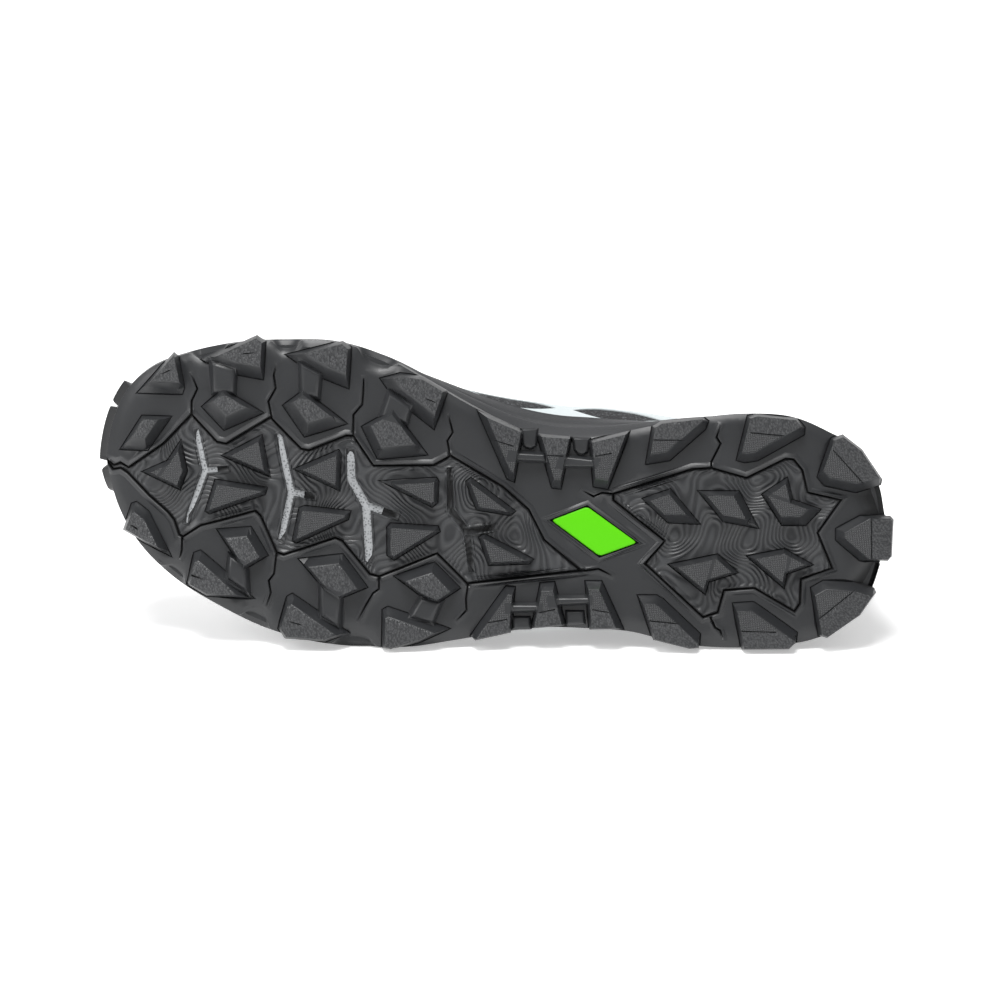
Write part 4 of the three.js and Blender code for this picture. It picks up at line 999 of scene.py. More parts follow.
# Outsole: one moulded tray of charcoal rubber under the midsole. Bevelled lugs with grained tops
# stand on its plate and in two sunk webs, necks and bridges tie the edge lugs together, and its
# edge is dented between them and climbs the midsole as a lip.
# All plan tables are in percent: along the sole's length, then across to the medial side.
LIP_WALL = 2.2
PLAN = np.array([LENGTH, BALL_WIDTH]) / 100.0

# Families of lugs: the way that their wide bevels face, the bevels' widths in mm, the level that
# they stand on and how their tops are grained.
FAMILIES = {
    "medial": {"faces": (0.0, -1.0), "wide": 4.6, "narrow": 1.1, "foot": 0.0, "grain": 1},
    "lateral": {"faces": (0.0, 1.0), "wide": 3.2, "narrow": 1.1, "foot": 0.0, "grain": 1},
    "web": {"faces": (0.0, 0.0), "wide": 1.3, "narrow": 1.3, "foot": -1.0, "grain": 2},
    "heel_web": {"faces": (-0.86, -0.51), "wide": 4.0, "narrow": 1.2, "foot": -1.0, "grain": 2},
    "heel_medial": {"faces": (0.0, -1.0), "wide": 3.4, "narrow": 0.8, "foot": 0.0, "grain": 1},
    "heel_lateral": {"faces": (0.0, 1.0), "wide": 3.0, "narrow": 0.8, "foot": 0.0, "grain": 1},
    "heel_back": {"faces": (1.0, 0.0), "wide": 3.0, "narrow": 0.8, "foot": 0.0, "grain": 1},
}
LUGS = [
    ("medial", [(96.5, 26.5), (92.3, 41), (91.7, 39.8), (90.6, 29.6), (90.8, 27.5)]),
    ("medial", [(98.1, 7.4), (95.7, 19), (92, 19.6), (94.6, 8)]),
    ("medial", [(88.6, 39.2), (81.9, 49), (80.8, 47.1), (80.7, 34.7), (84.8, 35.7), (86.9, 37.6)]),
    ("medial", [(88.1, 23.9), (85.7, 30.3), (80.4, 23.7), (85.1, 17)]),
    ("medial", [(78, 43.3), (71.1, 49.5), (70, 47.5), (69.9, 34.2), (73.3, 36.9), (75.8, 40)]),
    ("medial", [(77.9, 26.7), (75.5, 32.2), (69.8, 22.6), (74.9, 17.2)]),
    ("medial", [(66, 38.2), (63.6, 40.5), (60.6, 40), (57.5, 36.1), (58.8, 23.3), (64.1, 32.4)]),
    ("medial", [(67.8, 22), (64.1, 28.4), (59.4, 14.7), (65.5, 11.9)]),
    ("lateral", [(97, -19.1), (96.1, -10.2), (95.5, -9.5), (93.9, -12.1), (90.6, -25.9), (94.2, -22.4)]),
    ("lateral", [(88.2, -34.9), (87.6, -24.2), (86.8, -23.3), (83.5, -29.3), (79.7, -37.1), (85.6, -37.9)]),
    ("lateral", [(84.9, -15.8), (80.7, -14), (78.3, -22.7), (81.2, -28.1)]),
    ("lateral", [(76.2, -46.4), (75.4, -35.7), (74.8, -34.6), (71.5, -39.4), (67.3, -45.8), (70.2, -49.3),
                 (75.3, -49.5)]),
    ("lateral", [(74.3, -23), (68.9, -20.2), (65.5, -30.3), (69, -35), (70.8, -32.1)]),
    ("lateral", [(63, -49.8), (63.3, -37.3), (62.7, -36.2), (59.6, -38.2), (54.8, -41.6), (58.3, -46.8),
                 (62, -50.3)]),
    ("lateral", [(62.2, -25.8), (57.3, -20.4), (53.9, -28.1), (56.6, -33.6), (58.8, -31.4)]),
    ("web", [(95, 0.7), (92, 5), (90.5, 11.9), (89.4, 2.3), (90.1, -3.9)]),
    ("web", [(85, 8.5), (80.3, 16.2), (78.9, 3.2)]),
    ("web", [(86.6, -10.2), (85.7, 0.3), (79.1, -0.7), (79.3, -2.8), (86.1, -10.8)]),
    ("web", [(75.8, 6.2), (70.5, 13.6), (70.2, 12.3), (70, 0.6)]),
    ("web", [(75.3, -17.3), (74.8, -6.4), (74.2, -5.6), (68.4, -6), (68.6, -8.6), (74.8, -17.7)]),
    ("web", [(64.8, 4.7), (58, 7.3), (57.7, 6.2), (57.6, -0.7), (58.2, -2.3)]),
    ("web", [(63.6, -10.2), (63.2, -8.9), (57.3, -8.5), (57, -10.1), (62.4, -20.6), (63.3, -19.3)]),
    ("web", [(54.2, 7), (53.6, 8.1), (47.8, -1.5), (48.3, -2.9), (52.6, -1.9)]),
    ("web", [(52, -10.9), (51.4, -9.8), (45, -16.8), (45.4, -18.2), (50.5, -19.8)]),
    ("heel_medial", [(53.5, 30.4), (47.6, 25.1), (48.2, 8.2), (49.1, 9)]),
    ("heel_medial", [(45.9, 24.5), (41.5, 24.5), (42.3, 7.2), (43.4, 7.3)]),
    ("heel_medial", [(39.2, 23.7), (34.3, 28), (36.4, 8.5), (38.2, 8.8)]),
    ("heel_lateral", [(52, -43.4), (48.1, -26.2), (47, -26.3), (47, -41.4), (51.4, -44.9)]),
    ("heel_lateral", [(44.5, -39.5), (43.8, -24.3), (42.1, -23.6), (40.2, -37.6)]),
    ("heel_lateral", [(38.2, -22.4), (36.2, -22), (33, -37), (37.2, -38.2)]),
    ("heel_medial", [(31.9, 17.7), (31.5, 30.2), (30.5, 32.1), (25.4, 34.7), (24.6, 33.4), (24.9, 30.7),
                     (29, 19.6)]),
    ("heel_medial", [(20.6, 21.5), (19.7, 36.1), (18.6, 37.1), (13.6, 36.9), (12.5, 34), (12.5, 31.7),
                     (18, 22), (19.6, 21)]),
    ("heel_medial", [(10.3, 18.1), (9, 31.2), (7.6, 32.8), (5, 28.4), (2.1, 19.1), (2.2, 17.2),
                     (5.3, 14.3), (9.4, 15.7)]),
    ("heel_back", [(7.4, 1.7), (4.5, 6.6), (0.7, 7.4), (0.2, 6.2), (0, -5.9), (0.5, -7.5), (4.1, -7.9),
                   (7.3, -1.9)]),
    ("heel_lateral", [(9.9, -18.2), (8.4, -15.6), (4.6, -15.4), (1.9, -16.7), (1.6, -18.1), (3.4, -26),
                      (7.3, -34.4), (8.4, -33.6)]),
    ("heel_lateral", [(19.5, -25.5), (17, -24.5), (15.8, -26.2), (11.2, -33.3), (11.2, -36.9), (12, -39),
                      (17.9, -40.5)]),
    ("heel_lateral", [(31.5, -25.5), (29.2, -25), (28.3, -26.1), (23.3, -36.5), (23.3, -41.1),
                      (24.5, -41.7), (29.1, -39.8)]),
    ("heel_web", [(31.9, 6.2), (28.6, 10), (24.6, -0.4), (28.5, -0.8)]),
    ("heel_web", [(25, 10.2), (20, 11.2), (17.2, -0.1), (21.6, 1.1)]),
    ("heel_web", [(17, 10.9), (14.1, 17), (13.2, 9.9), (9.6, 7.6), (11.3, 2.1), (14.2, 1.5)]),
    ("heel_web", [(27.9, -14.6), (22, -10), (19.3, -15.3), (22.8, -19.1), (23.1, -23.2)]),
    ("heel_web", [(18.2, -9.7), (13.7, -6.4), (10, -10.7), (13.1, -14.3), (13.3, -19)]),
]

# Low smooth forms between the lugs: their height, bevel and corners.
LOWS = [
    (3.1, 2.4, [(87.8, 40.2), (84.0, 38.0), (83.8, 28.4), (87.1, 27.9)]),
    (3.1, 2.4, [(76.6, 42.6), (73.2, 38.9), (73.2, 29.3), (76.0, 29.6)]),
    (3.1, 2.4, [(65.0, 35.2), (61.5, 30.7), (62.0, 23.4), (65.9, 25.5)]),
    (3.1, 2.4, [(83.4, -22.5), (80.6, -25.7), (79.9, -37.0), (83.5, -32.1)]),
    (3.1, 2.4, [(71.7, -29.5), (68.3, -33.1), (68.2, -45.7), (71.3, -41.8)]),
    (3.1, 2.4, [(58.8, -31.2), (55.6, -32.2), (56.7, -41.0), (60.4, -39.7)]),
    (4.0, 1.5, [(49.3, 18.5), (44.5, 18.8), (44.1, 15.1), (49.5, 14.6)]),
    (4.0, 1.5, [(42.8, 18.7), (37.6, 18.3), (38.1, 14.7), (43.3, 13.7)]),
    (4.0, 1.5, [(48.1, -31.5), (43.3, -30.5), (43.2, -33.8), (48.0, -35.2)]),
    (4.0, 1.5, [(43.0, -28.1), (37.2, -26.6), (37.1, -29.9), (42.6, -31.9)]),
    (1.5, 1.2, [(48.0, 26.0), (45.7, 26.5), (45.7, 20.3), (46.4, 19.0), (47.1, 19.2), (47.6, 20.2)]),
    (1.5, 1.2, [(41.5, 24.5), (39.1, 24.7), (39.2, 19.7), (39.9, 18.4), (40.5, 18.6), (41.1, 20.0)]),
    (1.5, 1.2, [(47.1, -35.8), (44.7, -35.3), (44.4, -39.8), (46.9, -40.4)]),
    (1.5, 1.2, [(40.5, -32.4), (38.0, -31.9), (37.7, -36.7), (40.2, -37.6)]),
]

# Sunk webs, the slits that run out of them, the slots in the forefoot's web and the badge's seat.
WEBS = [
    [(100, 3.6), (98.8, 1.9), (98, 3), (96.9, 1.6), (92.7, 10.6), (89.4, 21.1), (85.9, 12.9),
     (84.7, 12.5), (79.4, 22.5), (75.2, 13.1), (74.2, 12.8), (69.7, 18.7), (68.8, 18.7), (66, 9.6),
     (58.5, 11.4), (56.4, 15), (49.6, 6.3), (46.1, -0.5), (43.8, -10.1), (38.8, -19.2), (53, -26.4),
     (57.1, -17.3), (64.1, -26.5), (65.3, -26), (69.1, -15.8), (70, -15), (76.3, -22.1),
     (77.2, -21.5), (79.6, -10), (80.3, -8.5), (87.1, -15.1), (89.2, -19.3), (89.7, -18.8),
     (90.5, -14), (91.4, -11.6), (93.9, -6.9), (96.9, -0.2), (97.9, 1.2), (98.9, 0.5)],
    [(35.7, 7), (26.1, 17.3), (23.7, 18.2), (19.2, 15.9), (14.5, 23.3), (13.5, 23.3), (12.3, 20),
     (11.4, 12.8), (7, 11.4), (9.7, -0.1), (7.4, -11.4), (11.3, -15.6), (11.1, -23.7),
     (11.7, -26.5), (17, -19.9), (20.8, -21.4), (21.3, -28.9), (23.1, -30.9), (31, -14.9),
     (28.7, -7), (35.6, 4.9)],
]
SLITS = [
    [(89.4, 21.3), (89.5, 25.5), (88.9, 29.6), (89.8, 34.3)],
    [(79.2, 22.5), (79.8, 27.6), (79, 32.1), (79.4, 36.3), (79.2, 39.9)],
    [(68.8, 18.9), (69, 25.7), (68, 29.2), (68, 33.5), (68.1, 37.7)],
    [(56.5, 15), (57, 19.8), (56.4, 22.6), (57.2, 28.6)],
    [(89.3, -19.7), (89.2, -23.6), (89.4, -26.6)],
    [(77.2, -22), (77.3, -28.6), (77.9, -31), (77.5, -34.9), (77.9, -39.2)],
    [(64.1, -26.4), (64, -30.6), (64.7, -32.1), (65.4, -35.8), (66.3, -41.3)],
    [(52.9, -26.6), (53, -31.5), (52.8, -35.1), (53.9, -38.6)],
    [(39.3, -19), (38.3, -19), (36.7, -18), (35, -19.7)],
    [(39.5, 7.2), (38.1, 5.5), (37.1, 7), (35.9, 7)],
    [(23.7, 18.2), (23.8, 20.1), (22.8, 26.4), (23.4, 28.4), (23, 32.1)],
    [(22.2, -30.7), (21.5, -33.9), (20.8, -34.7), (20.4, -37.4)],
]
SLOTS = [
    [(88.6, 15.6), (87.1, 3.1), (88.9, -14)],
    [(87.1, 3.1), (84.4, 4.3)],
    [(78.1, 16.2), (76, -1.4), (76.8, -17)],
    [(76, -1.4), (73.2, -2.1)],
    [(69, 13.6), (68.6, 4.5), (66.5, -3.6), (65.5, -21.1)],
    [(66.5, -3.6), (62.7, -6.1)],
    [(56.4, 10.2), (55.9, -2.6), (53.6, -9.3), (52.6, -21.6)],
    [(53.6, -9.3), (50.3, -7.3)],
]
SIPES = [
    [(93.5, 33.4), (92.5, 35.0)],
    [(83.4, 42.5), (81.8, 43.3)],
    [(72.4, 43.6), (70.9, 43.8)],
    [(60.2, 33.1), (58.8, 32.0)],
    [(95.9, -16.9), (95.0, -18.1)],
    [(87.6, -31.4), (85.8, -32.5)],
    [(75.1, -43.3), (73.3, -44.2)],
    [(62.3, -45.2), (60.4, -44.6)],
]
DIVIDES = [
    [(19.2, 30.9), (15.1, 30.8)], [(8.7, 27.3), (4.6, 17.4)], [(3.2, 6.5), (2.7, -7.2)],
    [(8.6, -27.8), (4.2, -17)], [(18.2, -34.1), (14, -33.5)], [(51.3, 21.4), (48.7, 19.9)],
    [(44.9, 17.8), (42.4, 18)], [(38.3, 18.9), (36.4, 20.3)], [(50, -38.4), (47.7, -36.9)],
    [(43.6, -33.7), (41.8, -32.3)], [(37, -31.3), (34.5, -31.8)], [(31.2, 25.9), (27.3, 26.6)],
    [(30.6, -33.2), (25.6, -33.4)],
]
BUMPERS = [[(99.0, 24.2), (98.3, 26.8)], [(100.3, 5.5), (99.2, 18)], [(100.4, -0.8), (99.8, -6.5)]]
BADGE = [(43.2, -3.4), (38.8, 2.1), (32.1, -8.3), (36.7, -13.9)]

# Dents in the plate's edge: side, centre along the sole in percent, half length and depth in mm.
DENTS = [
    (1, 88, 8, 4.5), (1, 78.3, 6, 4.2), (1, 66.4, 9, 5), (-1, 90.3, 6.5, 4), (-1, 79.5, 7, 5),
    (-1, 66.4, 9.5, 5), (1, 3.4, 6, 3), (-1, 2.9, 6, 3),
]

BUMPER = {"out": 3.0, "full": 2.4, "end": 3.4}

# Hollows in the plate's edge on both sides of the heel's back lug, sunk and darkened with painted shade.
HOLLOWS = [[(3.2, 16), (1.4, 8.5)], [(2.8, -16), (1.4, -9.5)]]
HOLLOW = {"reach": 7.5, "depth": 3.2}

# Height of the ground, in mm off the plate, over the distance in mm inside a web's edge, beside a
# slit, inside a slot and outside the badge.
WEB_SEAM = [(-2.2, 0), (-1.5, 0.45), (-0.8, 0.7), (-0.45, 0.5), (-0.25, -2), (0.25, -2),
            (0.4, -0.75), (0.9, -0.55), (1.5, -0.75), (2.2, -1)]
SLIT_SEAM = [(0.3, -1.8), (0.42, 0.25), (0.9, 0.3), (1.6, 0)]
SLOT_SEAM = [(1.15, -1.9), (1.3, -0.7), (1.7, -0.6), (2.2, -1.0)]
SLOT_WIDER = (-0.1, -0.1, 0.1, 0.1, 0.4, 0.2, 0.0, 0.0)
BADGE_SEAM = [(0, -1.4), (0.35, -1.4), (0.5, 0.35), (0.95, 0.6), (1.6, 0.5), (2.1, 0)]
MOAT = {"width": 0.5, "depth": 0.5}
EDGE_FALL = {"reach": 5.0, "depth": 1.6}
SIPE = {"half": 0.3, "depth": 0.9}
DIVIDE = {"half": 0.3, "depth": 0.5}


def counter_clockwise(corners):
    """Corners in mm, turned to run counter-clockwise."""
    loop = np.array(corners) * PLAN
    x, y = loop.T
    area = np.sum(x * np.roll(y, -1) - np.roll(x, -1) * y)
    return loop if area > 0 else loop[::-1]


def sides_of(loop):
    """Each side's inward direction and how far along it the side lies."""
    along = np.roll(loop, -1, 0) - loop
    inwards = np.stack([-along[:, 1], along[:, 0]], 1) / np.linalg.norm(along, axis=1)[:, None]
    return inwards, np.sum(inwards * loop, 1)


def convex_parts(loop):
    """The sides of convex forms that make up a loop, and which are a notch's: the loop itself, or two
    where it has one notch. Each then keeps the hull's sides and one of the notch's own two."""
    along = np.roll(loop, -1, 0) - loop
    before = np.roll(along, 1, 0)
    turn = before[:, 0] * along[:, 1] - before[:, 1] * along[:, 0]
    notch = int(np.argmin(turn / np.linalg.norm(before, axis=1) / np.linalg.norm(along, axis=1)))
    if turn[notch] > -1e-6 or len(loop) > 6:
        return [(sides_of(loop), np.zeros(len(loop), bool))]
    inwards, place = sides_of(loop)
    count = len(loop)
    parts = []
    for own, other in (((notch - 1) % count, notch), (notch, (notch - 1) % count)):
        kept = np.flatnonzero(np.arange(count) != other)
        parts.append(((inwards[kept], place[kept]), kept == own))
    return parts


def cut_to(sides, distances):
    """The convex loop that lies at least a distance inside every side, or None."""
    loop = [np.array(p) for p in ((-500.0, -500.0), (800.0, -500.0), (800.0, 500.0), (-500.0, 500.0))]
    for inwards, place, distance in zip(*sides, distances):
        left = []
        depth = [float(p @ inwards - place - distance) for p in loop]
        for p, q, a, b in zip(loop, loop[1:] + loop[:1], depth, depth[1:] + depth[:1]):
            if a >= 0:
                left.append(p)
            if a * b < 0:
                left.append(p + (q - p) * a / (a - b))
        loop = left
        if len(loop) < 3:
            return None
    return np.array(loop)


def away_from(line, points, closed=False):
    """Distance of points from a line of straight parts."""
    start = line if closed else line[:-1]
    part = (np.roll(line, -1, 0) if closed else line[1:]) - start
    to = points[:, None] - start[None]
    share = np.clip(np.sum(to * part, -1) / np.sum(part * part, -1), 0.0, 1.0)
    return np.linalg.norm(to - share[..., None] * part, axis=-1).min(1)


def away_from_all(lines, points):
    """Distance of points from the nearest of several lines."""
    return np.min([away_from(line, points) for line in lines], 0)


def beside(line, distance, closed=False):
    """A loop at a distance from a line, to its left, or all round an open one."""
    if not closed:
        line = np.concatenate([line, line[-2:0:-1]])
    along = np.roll(line, -1, 0) - line
    along /= np.linalg.norm(along, axis=1)[:, None]
    before = np.roll(along, 1, 0)
    turn = along + before
    flat = np.linalg.norm(turn, axis=1) < 0.3
    out = np.stack([-turn[:, 1], turn[:, 0]], 1)
    miter = out / np.maximum(np.sum(out * np.stack([-along[:, 1], along[:, 0]], 1), 1), 0.35)[:, None]
    loop = []
    for p, m, a, b, end in zip(line, miter, before, along, flat):
        if end:
            left, right = np.array([-a[1], a[0]]), np.array([-b[1], b[0]])
            loop += [p + (left + a) * distance, p + (right - b) * distance]
        else:
            loop.append(p + m * distance)
    return np.array(loop)


def seam(profile, distance):
    """A height read from a profile of (distance, height) rows."""
    return np.interp(distance, *np.array(profile).T)


lugs = []
for family, corners in LUGS:
    kind = FAMILIES[family]
    for sides, notched in convex_parts(counter_clockwise(corners)):
        facing = smooth(-sides[0] @ np.array(kind["faces"]), 0.15, 0.75) * ~notched
        lugs.append({
            "loop": cut_to(sides, 0.0 * sides[1]), "sides": sides, "foot": kind["foot"],
            "grain": kind["grain"], "low": False, "height": LUG_HEIGHT,
            "widths": between(kind["narrow"], kind["wide"], facing),
        })
for height, bevel, corners in LOWS:
    loop = counter_clockwise(corners)
    sides = sides_of(loop)
    lugs.append({
        "loop": loop, "sides": sides, "foot": 0.0, "grain": 0, "low": True,
        "widths": bevel + 0.0 * sides[1], "height": height,
    })
webs = [counter_clockwise(corners) for corners in WEBS]
slits = [np.array(line) * PLAN for line in SLITS]
slots = [np.array(line) * PLAN for line in SLOTS]
sipes = [np.array(line) * PLAN for line in SIPES]
divides = [np.array(line) * PLAN for line in DIVIDES]
bumpers = [np.array(line) * PLAN for line in BUMPERS]
hollows = [np.array(line) * PLAN for line in HOLLOWS]
badge = counter_clockwise(BADGE)

edge_u = np.linspace(0.0, 1.0, 900, endpoint=False)
edge_line = outline(SOLE, edge_u)
edge_inset = np.full(len(edge_u), 0.5)
for side, middle, half, depth in DENTS:
    off = np.abs(edge_line[:, 0] - middle * PLAN[0]) + np.where(edge_line[:, 1] * side > 0, 0.0, 1e3)
    centre = edge_line[np.argmin(off)]
    share = np.clip(np.linalg.norm(edge_line - centre, axis=1) / half, 0.0, 1.0)
    edge_inset += depth * (1.0 - share ** 3) ** 2
plate_edge = outline(SOLE, edge_u, edge_inset)

# Lines that the moulded surface bends along.
creases = [plate_edge, outline(SOLE, edge_u[::3], edge_inset[::3] + 1.2),
           outline(SOLE, edge_u[::3], edge_inset[::3] + 2.6)]
for lug in lugs:
    levels = (0.25, 0.5, 0.75, 1.0) if lug["low"] else (0.0, 0.9, 1.0, 1.12)
    rings = [cut_to(lug["sides"], lug["widths"] * level) for level in levels]
    rings += [cut_to(lug["sides"], 0.0 * lug["widths"] - out) for out in (0.0, 0.25, 0.5)]
    creases += [ring for ring in rings if ring is not None]
for web in webs:
    creases += [beside(web, distance, closed=True) for distance, height in WEB_SEAM]
for slit in slits:
    creases += [beside(slit, distance) for distance, height in SLIT_SEAM]
for slot, wider in zip(slots, SLOT_WIDER):
    creases += [beside(slot, distance + wider) for distance, height in SLOT_SEAM]
for sipe in sipes:
    creases += [beside(sipe, distance) for distance in (0.24, 0.34)]
for divide in divides:
    creases += [beside(divide, distance) for distance in (0.02, 0.3)]
creases += [beside(badge, -distance, closed=True) for distance, height in BADGE_SEAM]
plan, triangles = fill(creases, grid_points((-4.0, -62.0), (304.0, 62.0), 2.6))
middles = plan[triangles].mean(1)
keep = within(plate_edge, middles)
for lug in lugs:
    keep |= within(lug["loop"], middles)
triangles = triangles[keep]


def lug_share(lug, points):
    """0 at a lug's foot and 1 at its top's edge: the least of the distances inside its sides, each
    divided by that side's bevel."""
    inwards, place = lug["sides"]
    return ((points @ inwards.T - place) / lug["widths"]).min(1)


def outside_lug(lug, points):
    """Distance outside a lug's foot."""
    inwards, place = lug["sides"]
    return -(points @ inwards.T - place).min(1)


def inside_web(points):
    """Distance inside the nearer web's edge, below zero outside it."""
    nearest = [np.where(within(web, points), 1, -1) * away_from(web, points, True) for web in webs]
    return np.max(nearest, 0)


def relief(points):
    """Height of the moulded surface off the plate, and the painted shade that darkens its seams, cuts, moats
    and hollows.
    """
    # dark is painted shade: the web seams, slits, slots and badge seat are darkened in colour as well as
    # sunk.
    depth = inside_web(points)
    height = seam(WEB_SEAM, depth)
    dark = 1.0 - smooth(np.abs(depth), 0.25, 0.6)
    slit = away_from_all(slits, points)
    lip = seam(SLIT_SEAM[1:], slit) * smooth(-depth, 0.25, 0.6)
    height = np.where(slit < 0.42, np.minimum(height, seam(SLIT_SEAM[:2], slit)), height + lip)
    dark = np.maximum(dark, 1.0 - smooth(slit, 0.25, 0.45))
    for line, wider in zip(slots, SLOT_WIDER):
        near = away_from(line, points) - wider
        height = np.where(near < 1.17, np.minimum(height, seam(SLOT_SEAM, near)), height)
        height = height + (seam(SLOT_SEAM, near) + 1.0) * ((near >= 1.17) & (near < 2.2) & (height < -0.9))
        dark = np.maximum(dark, 1.0 - smooth(near, 1.0, 1.2))
    outside = away_from(badge, points, True) * np.where(within(badge, points), -1, 1)
    height = np.where(outside < 0.45, seam(BADGE_SEAM, outside), height + seam(BADGE_SEAM[2:], outside)
                      * (outside < 2.1))
    dark = np.maximum(dark, (outside < 0.4) * 1.0)
    edge = away_from(plate_edge[::2], points, True) * within(plate_edge, points)
    fall = np.clip(1.0 - edge / EDGE_FALL["reach"], 0.0, 1.0)
    height = height - EDGE_FALL["depth"] * fall ** 2
    hollow = 1.0 - away_from_all(hollows, points) / HOLLOW["reach"]
    height = height - HOLLOW["depth"] * smooth(hollow, 0.0, 0.9)
    # Painted shade in the hollows, beyond what their depth casts.
    dark = np.maximum(dark, 0.75 * smooth(hollow, 0.05, 0.7))
    # A moat round each high lug's foot: sunk a little and darkened with painted shade.
    for lug in lugs:
        if not lug["low"]:
            out = outside_lug(lug, points)
            moat = np.clip(1.0 - np.abs(out / MOAT["width"] * 2 - 1), 0.0, 1.0)
            height = height - MOAT["depth"] * moat
            dark = np.maximum(dark, 0.8 * moat)
    for lug in lugs:
        share = lug_share(lug, points)
        if lug["low"]:
            climb = 1.0 - (1.0 - np.clip(share, 0.0, 1.0)) ** 2
        else:
            over = np.clip((share - 0.9) / 0.22, 0.0, 1.0)
            climb = np.minimum(share, 0.9) + 0.1 * (2 * over - over * over)
        top = lug["foot"] + (lug["height"] - lug["foot"]) * climb
        height = np.where(share > -1e-6, np.maximum(height, top), height)
        dark = np.where(share > 0.05, 0.0, dark)
    cut = (away_from_all(sipes, points) < SIPE["half"]) * 1.0
    groove = np.clip(1.0 - away_from_all(divides, points) / DIVIDE["half"], 0.0, 1.0) * (height > 4.0)
    height = height - SIPE["depth"] * cut - DIVIDE["depth"] * groove
    # Sipes and divides get painted shade in their cuts too.
    return height, np.max([dark, cut, 0.7 * groove], 0)


height, dark = relief(plan)
grain = np.where(inside_web(middles[keep]) > 0.6, 3.0, 0.0)
for lug in lugs:
    share = lug_share(lug, middles[keep])
    grain = np.where(share > 0.0, 0.0, grain)
    grain = np.where(share > 1.0, lug["grain"], grain)
    for divide in divides:
        if lug_share(lug, divide.mean(0)[None])[0] > 0.5 and not lug["low"]:
            way = divide[1] - divide[0]
            to_face, to_middle = middles[keep] - divide[0], (0.26 * LENGTH, 0.0) - divide[0]
            same = (way[0] * to_face[:, 1] - way[1] * to_face[:, 0]) \
                * (way[0] * to_middle[1] - way[1] * to_middle[0])
            grain = np.where((share > 1.0) & (same > 0), 2.0, grain)
face_points = np.concatenate([plan, (plate_bottom(plan[:, 0]) - height)[:, None]], 1)

# The side wall, from the plate's edge up to the lip and down inside the tray.
rims = boundary(triangles)
follow = dict(rims.tolist())
loop = [int(rims[0, 0])]
loops = []
while follow:
    step = follow.pop(loop[-1], None)
    if step is None or step == loop[0]:
        loops.append(loop)
        loop = [next(iter(follow))] if follow else []
    else:
        loop.append(step)
loop = np.array(max(loops, key=len))
EDGE_STEPS = 3000
around_edge = outline(SOLE, np.arange(EDGE_STEPS) / EDGE_STEPS)
nearest_step = np.argmin(np.linalg.norm(plan[loop][:, None] - around_edge[None], axis=-1), 1)
nearest = nearest_step / EDGE_STEPS
lip_high = lip(plan[loop][:, 0])
wall_rows = []
for share, inset, lip_share, rise in (
    (0.15, 0.0, 0.0, 2.3), (0.45, 0.0, 0.3, 3.0), (0.8, 0.0, 0.6, 3.0), (1.0, 0.05, 1.0, 2.5),
    (1.0, 0.5, 1.0, 3.0), (1.0, LIP_WALL - 0.4, 1.0, 3.0), (1.0, LIP_WALL, 1.0, 2.6),
    (1.0, LIP_WALL, 0.0, 3.0),
):
    place = between(plan[loop], outline(SOLE, nearest, inset + 0.0 * nearest), share)
    if 0.2 < lip_share < 0.7:
        near = away_from_all(bumpers, around_edge[nearest_step])
        swell = 1.0 - smooth(near, BUMPER["full"], BUMPER["end"])
        outwards = outline(SOLE, nearest) - outline(SOLE, nearest, 0.0 * nearest + 1.0)
        place = place + outwards * BUMPER["out"] * swell[:, None]
    level = plate_bottom(place[:, 0]) + rise + lip_share * lip_high
    wall_rows.append(np.concatenate([place, level[:, None]], 1))
wall_points = np.concatenate([face_points[loop][None], wall_rows])
wall_faces = grid_faces(len(wall_points), len(loop), True)
floor_loop = wall_rows[-1][:, :2]
floor_plan, floor_faces = fill([floor_loop], grid_points((0.0, -60.0), (300.0, 60.0), 12.0))
floor_faces = floor_faces[within(floor_loop, floor_plan[floor_faces].mean(1))]
floor_points = np.concatenate([floor_plan, (plate_bottom(floor_plan[:, 0]) + 3.0)[:, None]], 1)

start = len(face_points)
second = start + wall_points.reshape(-1, 3).shape[0]
all_points = np.concatenate([face_points, wall_points.reshape(-1, 3), floor_points])
all_faces = (triangles[:, ::-1].tolist() + (wall_faces + start).tolist()
             + (floor_faces + second).tolist())
# Painted shade on the side wall just under the toe bumpers. There is none elsewhere on the wall or the tray's
# floor.
bumper_painted_shade = np.stack([0.0 * swell, 0.7 * swell, 0.7 * swell] + [0.0 * swell] * (len(wall_points) - 3))
painted_shade_marks = np.concatenate([dark, bumper_painted_shade.ravel(), np.zeros(len(floor_points))])

KNURL = 4.6
rubber = Look("charcoal_rubber")
plan_map = rubber.add("ShaderNodeUVMap", {"uv_map": "plan"}, {})
plan_x = rubber.add("ShaderNodeSeparateXYZ", {}, {0: plan_map}, 0) * LENGTH
plan_y = rubber.add("ShaderNodeSeparateXYZ", {}, {0: plan_map}, 1) * LENGTH
grained = rubber.attribute("grain")
pebbled = grained.equals(1.0)
knurled = grained.equals(2.0)
floored = grained.equals(3.0)
painted_shade_share = rubber.attribute("painted_shade")
pebble = rubber.cells(1300.0)
diamonds = ((plan_x + plan_y) * KNURL).sine() * ((plan_x - plan_y) * KNURL).sine()
ridges = (rubber.noise(34.0, 1.0) * 230.0).sine()
mottle = rubber.noise(60.0, 3.0)
shade = rubber.mix(mottle, (0.017, 0.018, 0.0195), (0.024, 0.025, 0.027))
shade = rubber.mix(pebbled * (1.0 - pebble.ramp(0.2, 0.7)), shade, (0.05, 0.0515, 0.054))
shade = rubber.mix(knurled * diamonds.ramp(-0.2, 0.6), shade, (0.045, 0.0465, 0.049))
shade = rubber.mix(floored * ridges.ramp(-0.5, 0.9), shade, (0.042, 0.0435, 0.046))
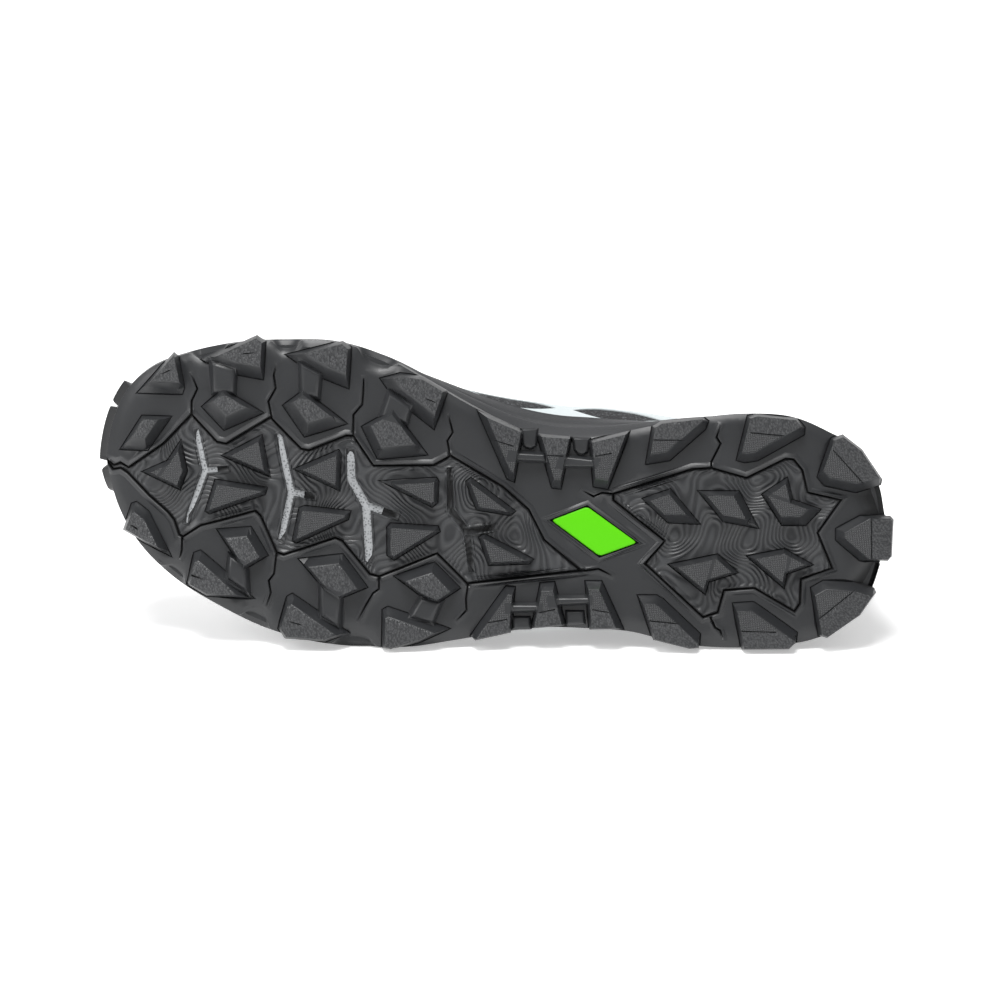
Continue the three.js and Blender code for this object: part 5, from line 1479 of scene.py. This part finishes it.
# Painted shade: the marked seams, moats, hollows and cuts turn near black, over and above the shade that
# their shapes cast.
shade = rubber.mix(painted_shade_share * 0.9, shade, (0.002, 0.002, 0.0022))
raised = (1.0 - pebble) * pebbled + diamonds * knurled * 0.6 + ridges * floored * 0.5
rubber_look = rubber.finish(
    Base_Color=shade,
    Roughness=painted_shade_share * 0.5 + 0.38,
    Specular_IOR_Level=0.42,
    Normal=rubber.bump(raised, 0.0003),
)
outsole = mesh_object("lugged_outsole", lay_down(all_points), all_faces, rubber_look)
flat_map = outsole.data.uv_layers.new(name="plan")
corners = np.zeros(len(outsole.data.loops), int)
outsole.data.loops.foreach_get("vertex_index", corners)
flat_map.data.foreach_set("uv", (all_points[corners, :2] / LENGTH + 0.5).ravel())
fixed(outsole, ["outsole"], 28.0, {"painted_shade": painted_shade_marks},
      {"grain": np.concatenate([grain, np.zeros(len(all_faces) - len(grain))])})

# Foam in the slots: the midsole's pale speckled foam shows through the three slots in the
# forefoot's web.
slot_loops = [beside(line if len(line) > 2 else between(line[0], line, 0.45), 1.12 + wider)
              for line, wider in zip(slots[:6], SLOT_WIDER)]
strip_plan, strip_faces = fill(slot_loops, np.zeros((0, 2)))
strip_middles = strip_plan[strip_faces].mean(1)
strip_faces = strip_faces[np.any([within(loop, strip_middles) for loop in slot_loops], 0)]
strip_edges = boundary(strip_faces)
under = len(strip_plan)
strip_sides = np.stack([strip_edges[:, 0], strip_edges[:, 1], strip_edges[:, 1] + under,
                        strip_edges[:, 0] + under], 1)
strip_points = np.concatenate([
    at_height(strip_plan, plate_bottom(strip_plan[:, 0]) + depth) for depth in (1.5, 1.85)])
strip_all = strip_faces.tolist() + (strip_faces[:, ::-1] + under).tolist() + strip_sides.tolist()
pale = Look("speckled_foam")
specks = pale.cells(1100.0).ramp(0.15, 0.5)
shoe_piece("slot_foam", strip_points, strip_all, pale.finish(
    Base_Color=pale.mix(specks, (0.1, 0.105, 0.11), (0.3, 0.31, 0.32)), Roughness=0.7,
    Normal=pale.bump(specks, 0.0001)))

# Inlay: a bright green rubber diamond with rounded corners, moulded on its own and bonded into
# its seat at the waist. Its face is left plain.
INLAY_COLOR = (0.085, 0.5, 0.0)


def rounded_off(loop, radius, steps=6):
    """A loop whose corners are drawn as short curves that start a radius away from each."""
    before, after = np.roll(loop, 1, 0) - loop, np.roll(loop, -1, 0) - loop
    start = loop + before / np.linalg.norm(before, axis=1)[:, None] * radius
    end = loop + after / np.linalg.norm(after, axis=1)[:, None] * radius
    s = np.linspace(0.0, 1.0, steps)[None, :, None]
    curve = start[:, None] * (1 - s) ** 2 + 2 * loop[:, None] * s * (1 - s) + end[:, None] * s ** 2
    return curve.reshape(-1, 2)


badge_sides = sides_of(badge)
inlay_rings = []
for inset, high in ((0.1, -1.3), (0.05, -0.1), (0.2, 0.15), (0.5, 0.28), (1.0, 0.32)):
    ring = rounded_off(cut_to(badge_sides, np.full(4, inset)), 1.6)
    inlay_rings.append(at_height(ring, plate_bottom(ring[:, 0]) - high))
inlay_points = np.array(inlay_rings)
inlay_faces = grid_faces(len(inlay_rings), len(inlay_rings[0]), True).tolist()
count = len(inlay_rings[0])
inlay_faces += [list(range(count)), list(range(count * (len(inlay_rings) - 1), count * len(inlay_rings)))]
green = Look("green_rubber")
inlay_look = green.finish(Base_Color=INLAY_COLOR, Roughness=0.45, Specular_IOR_Level=0.2)
shoe_piece("green_inlay", inlay_points, inlay_faces, inlay_look, ["outsole_inlay"], 60.0)
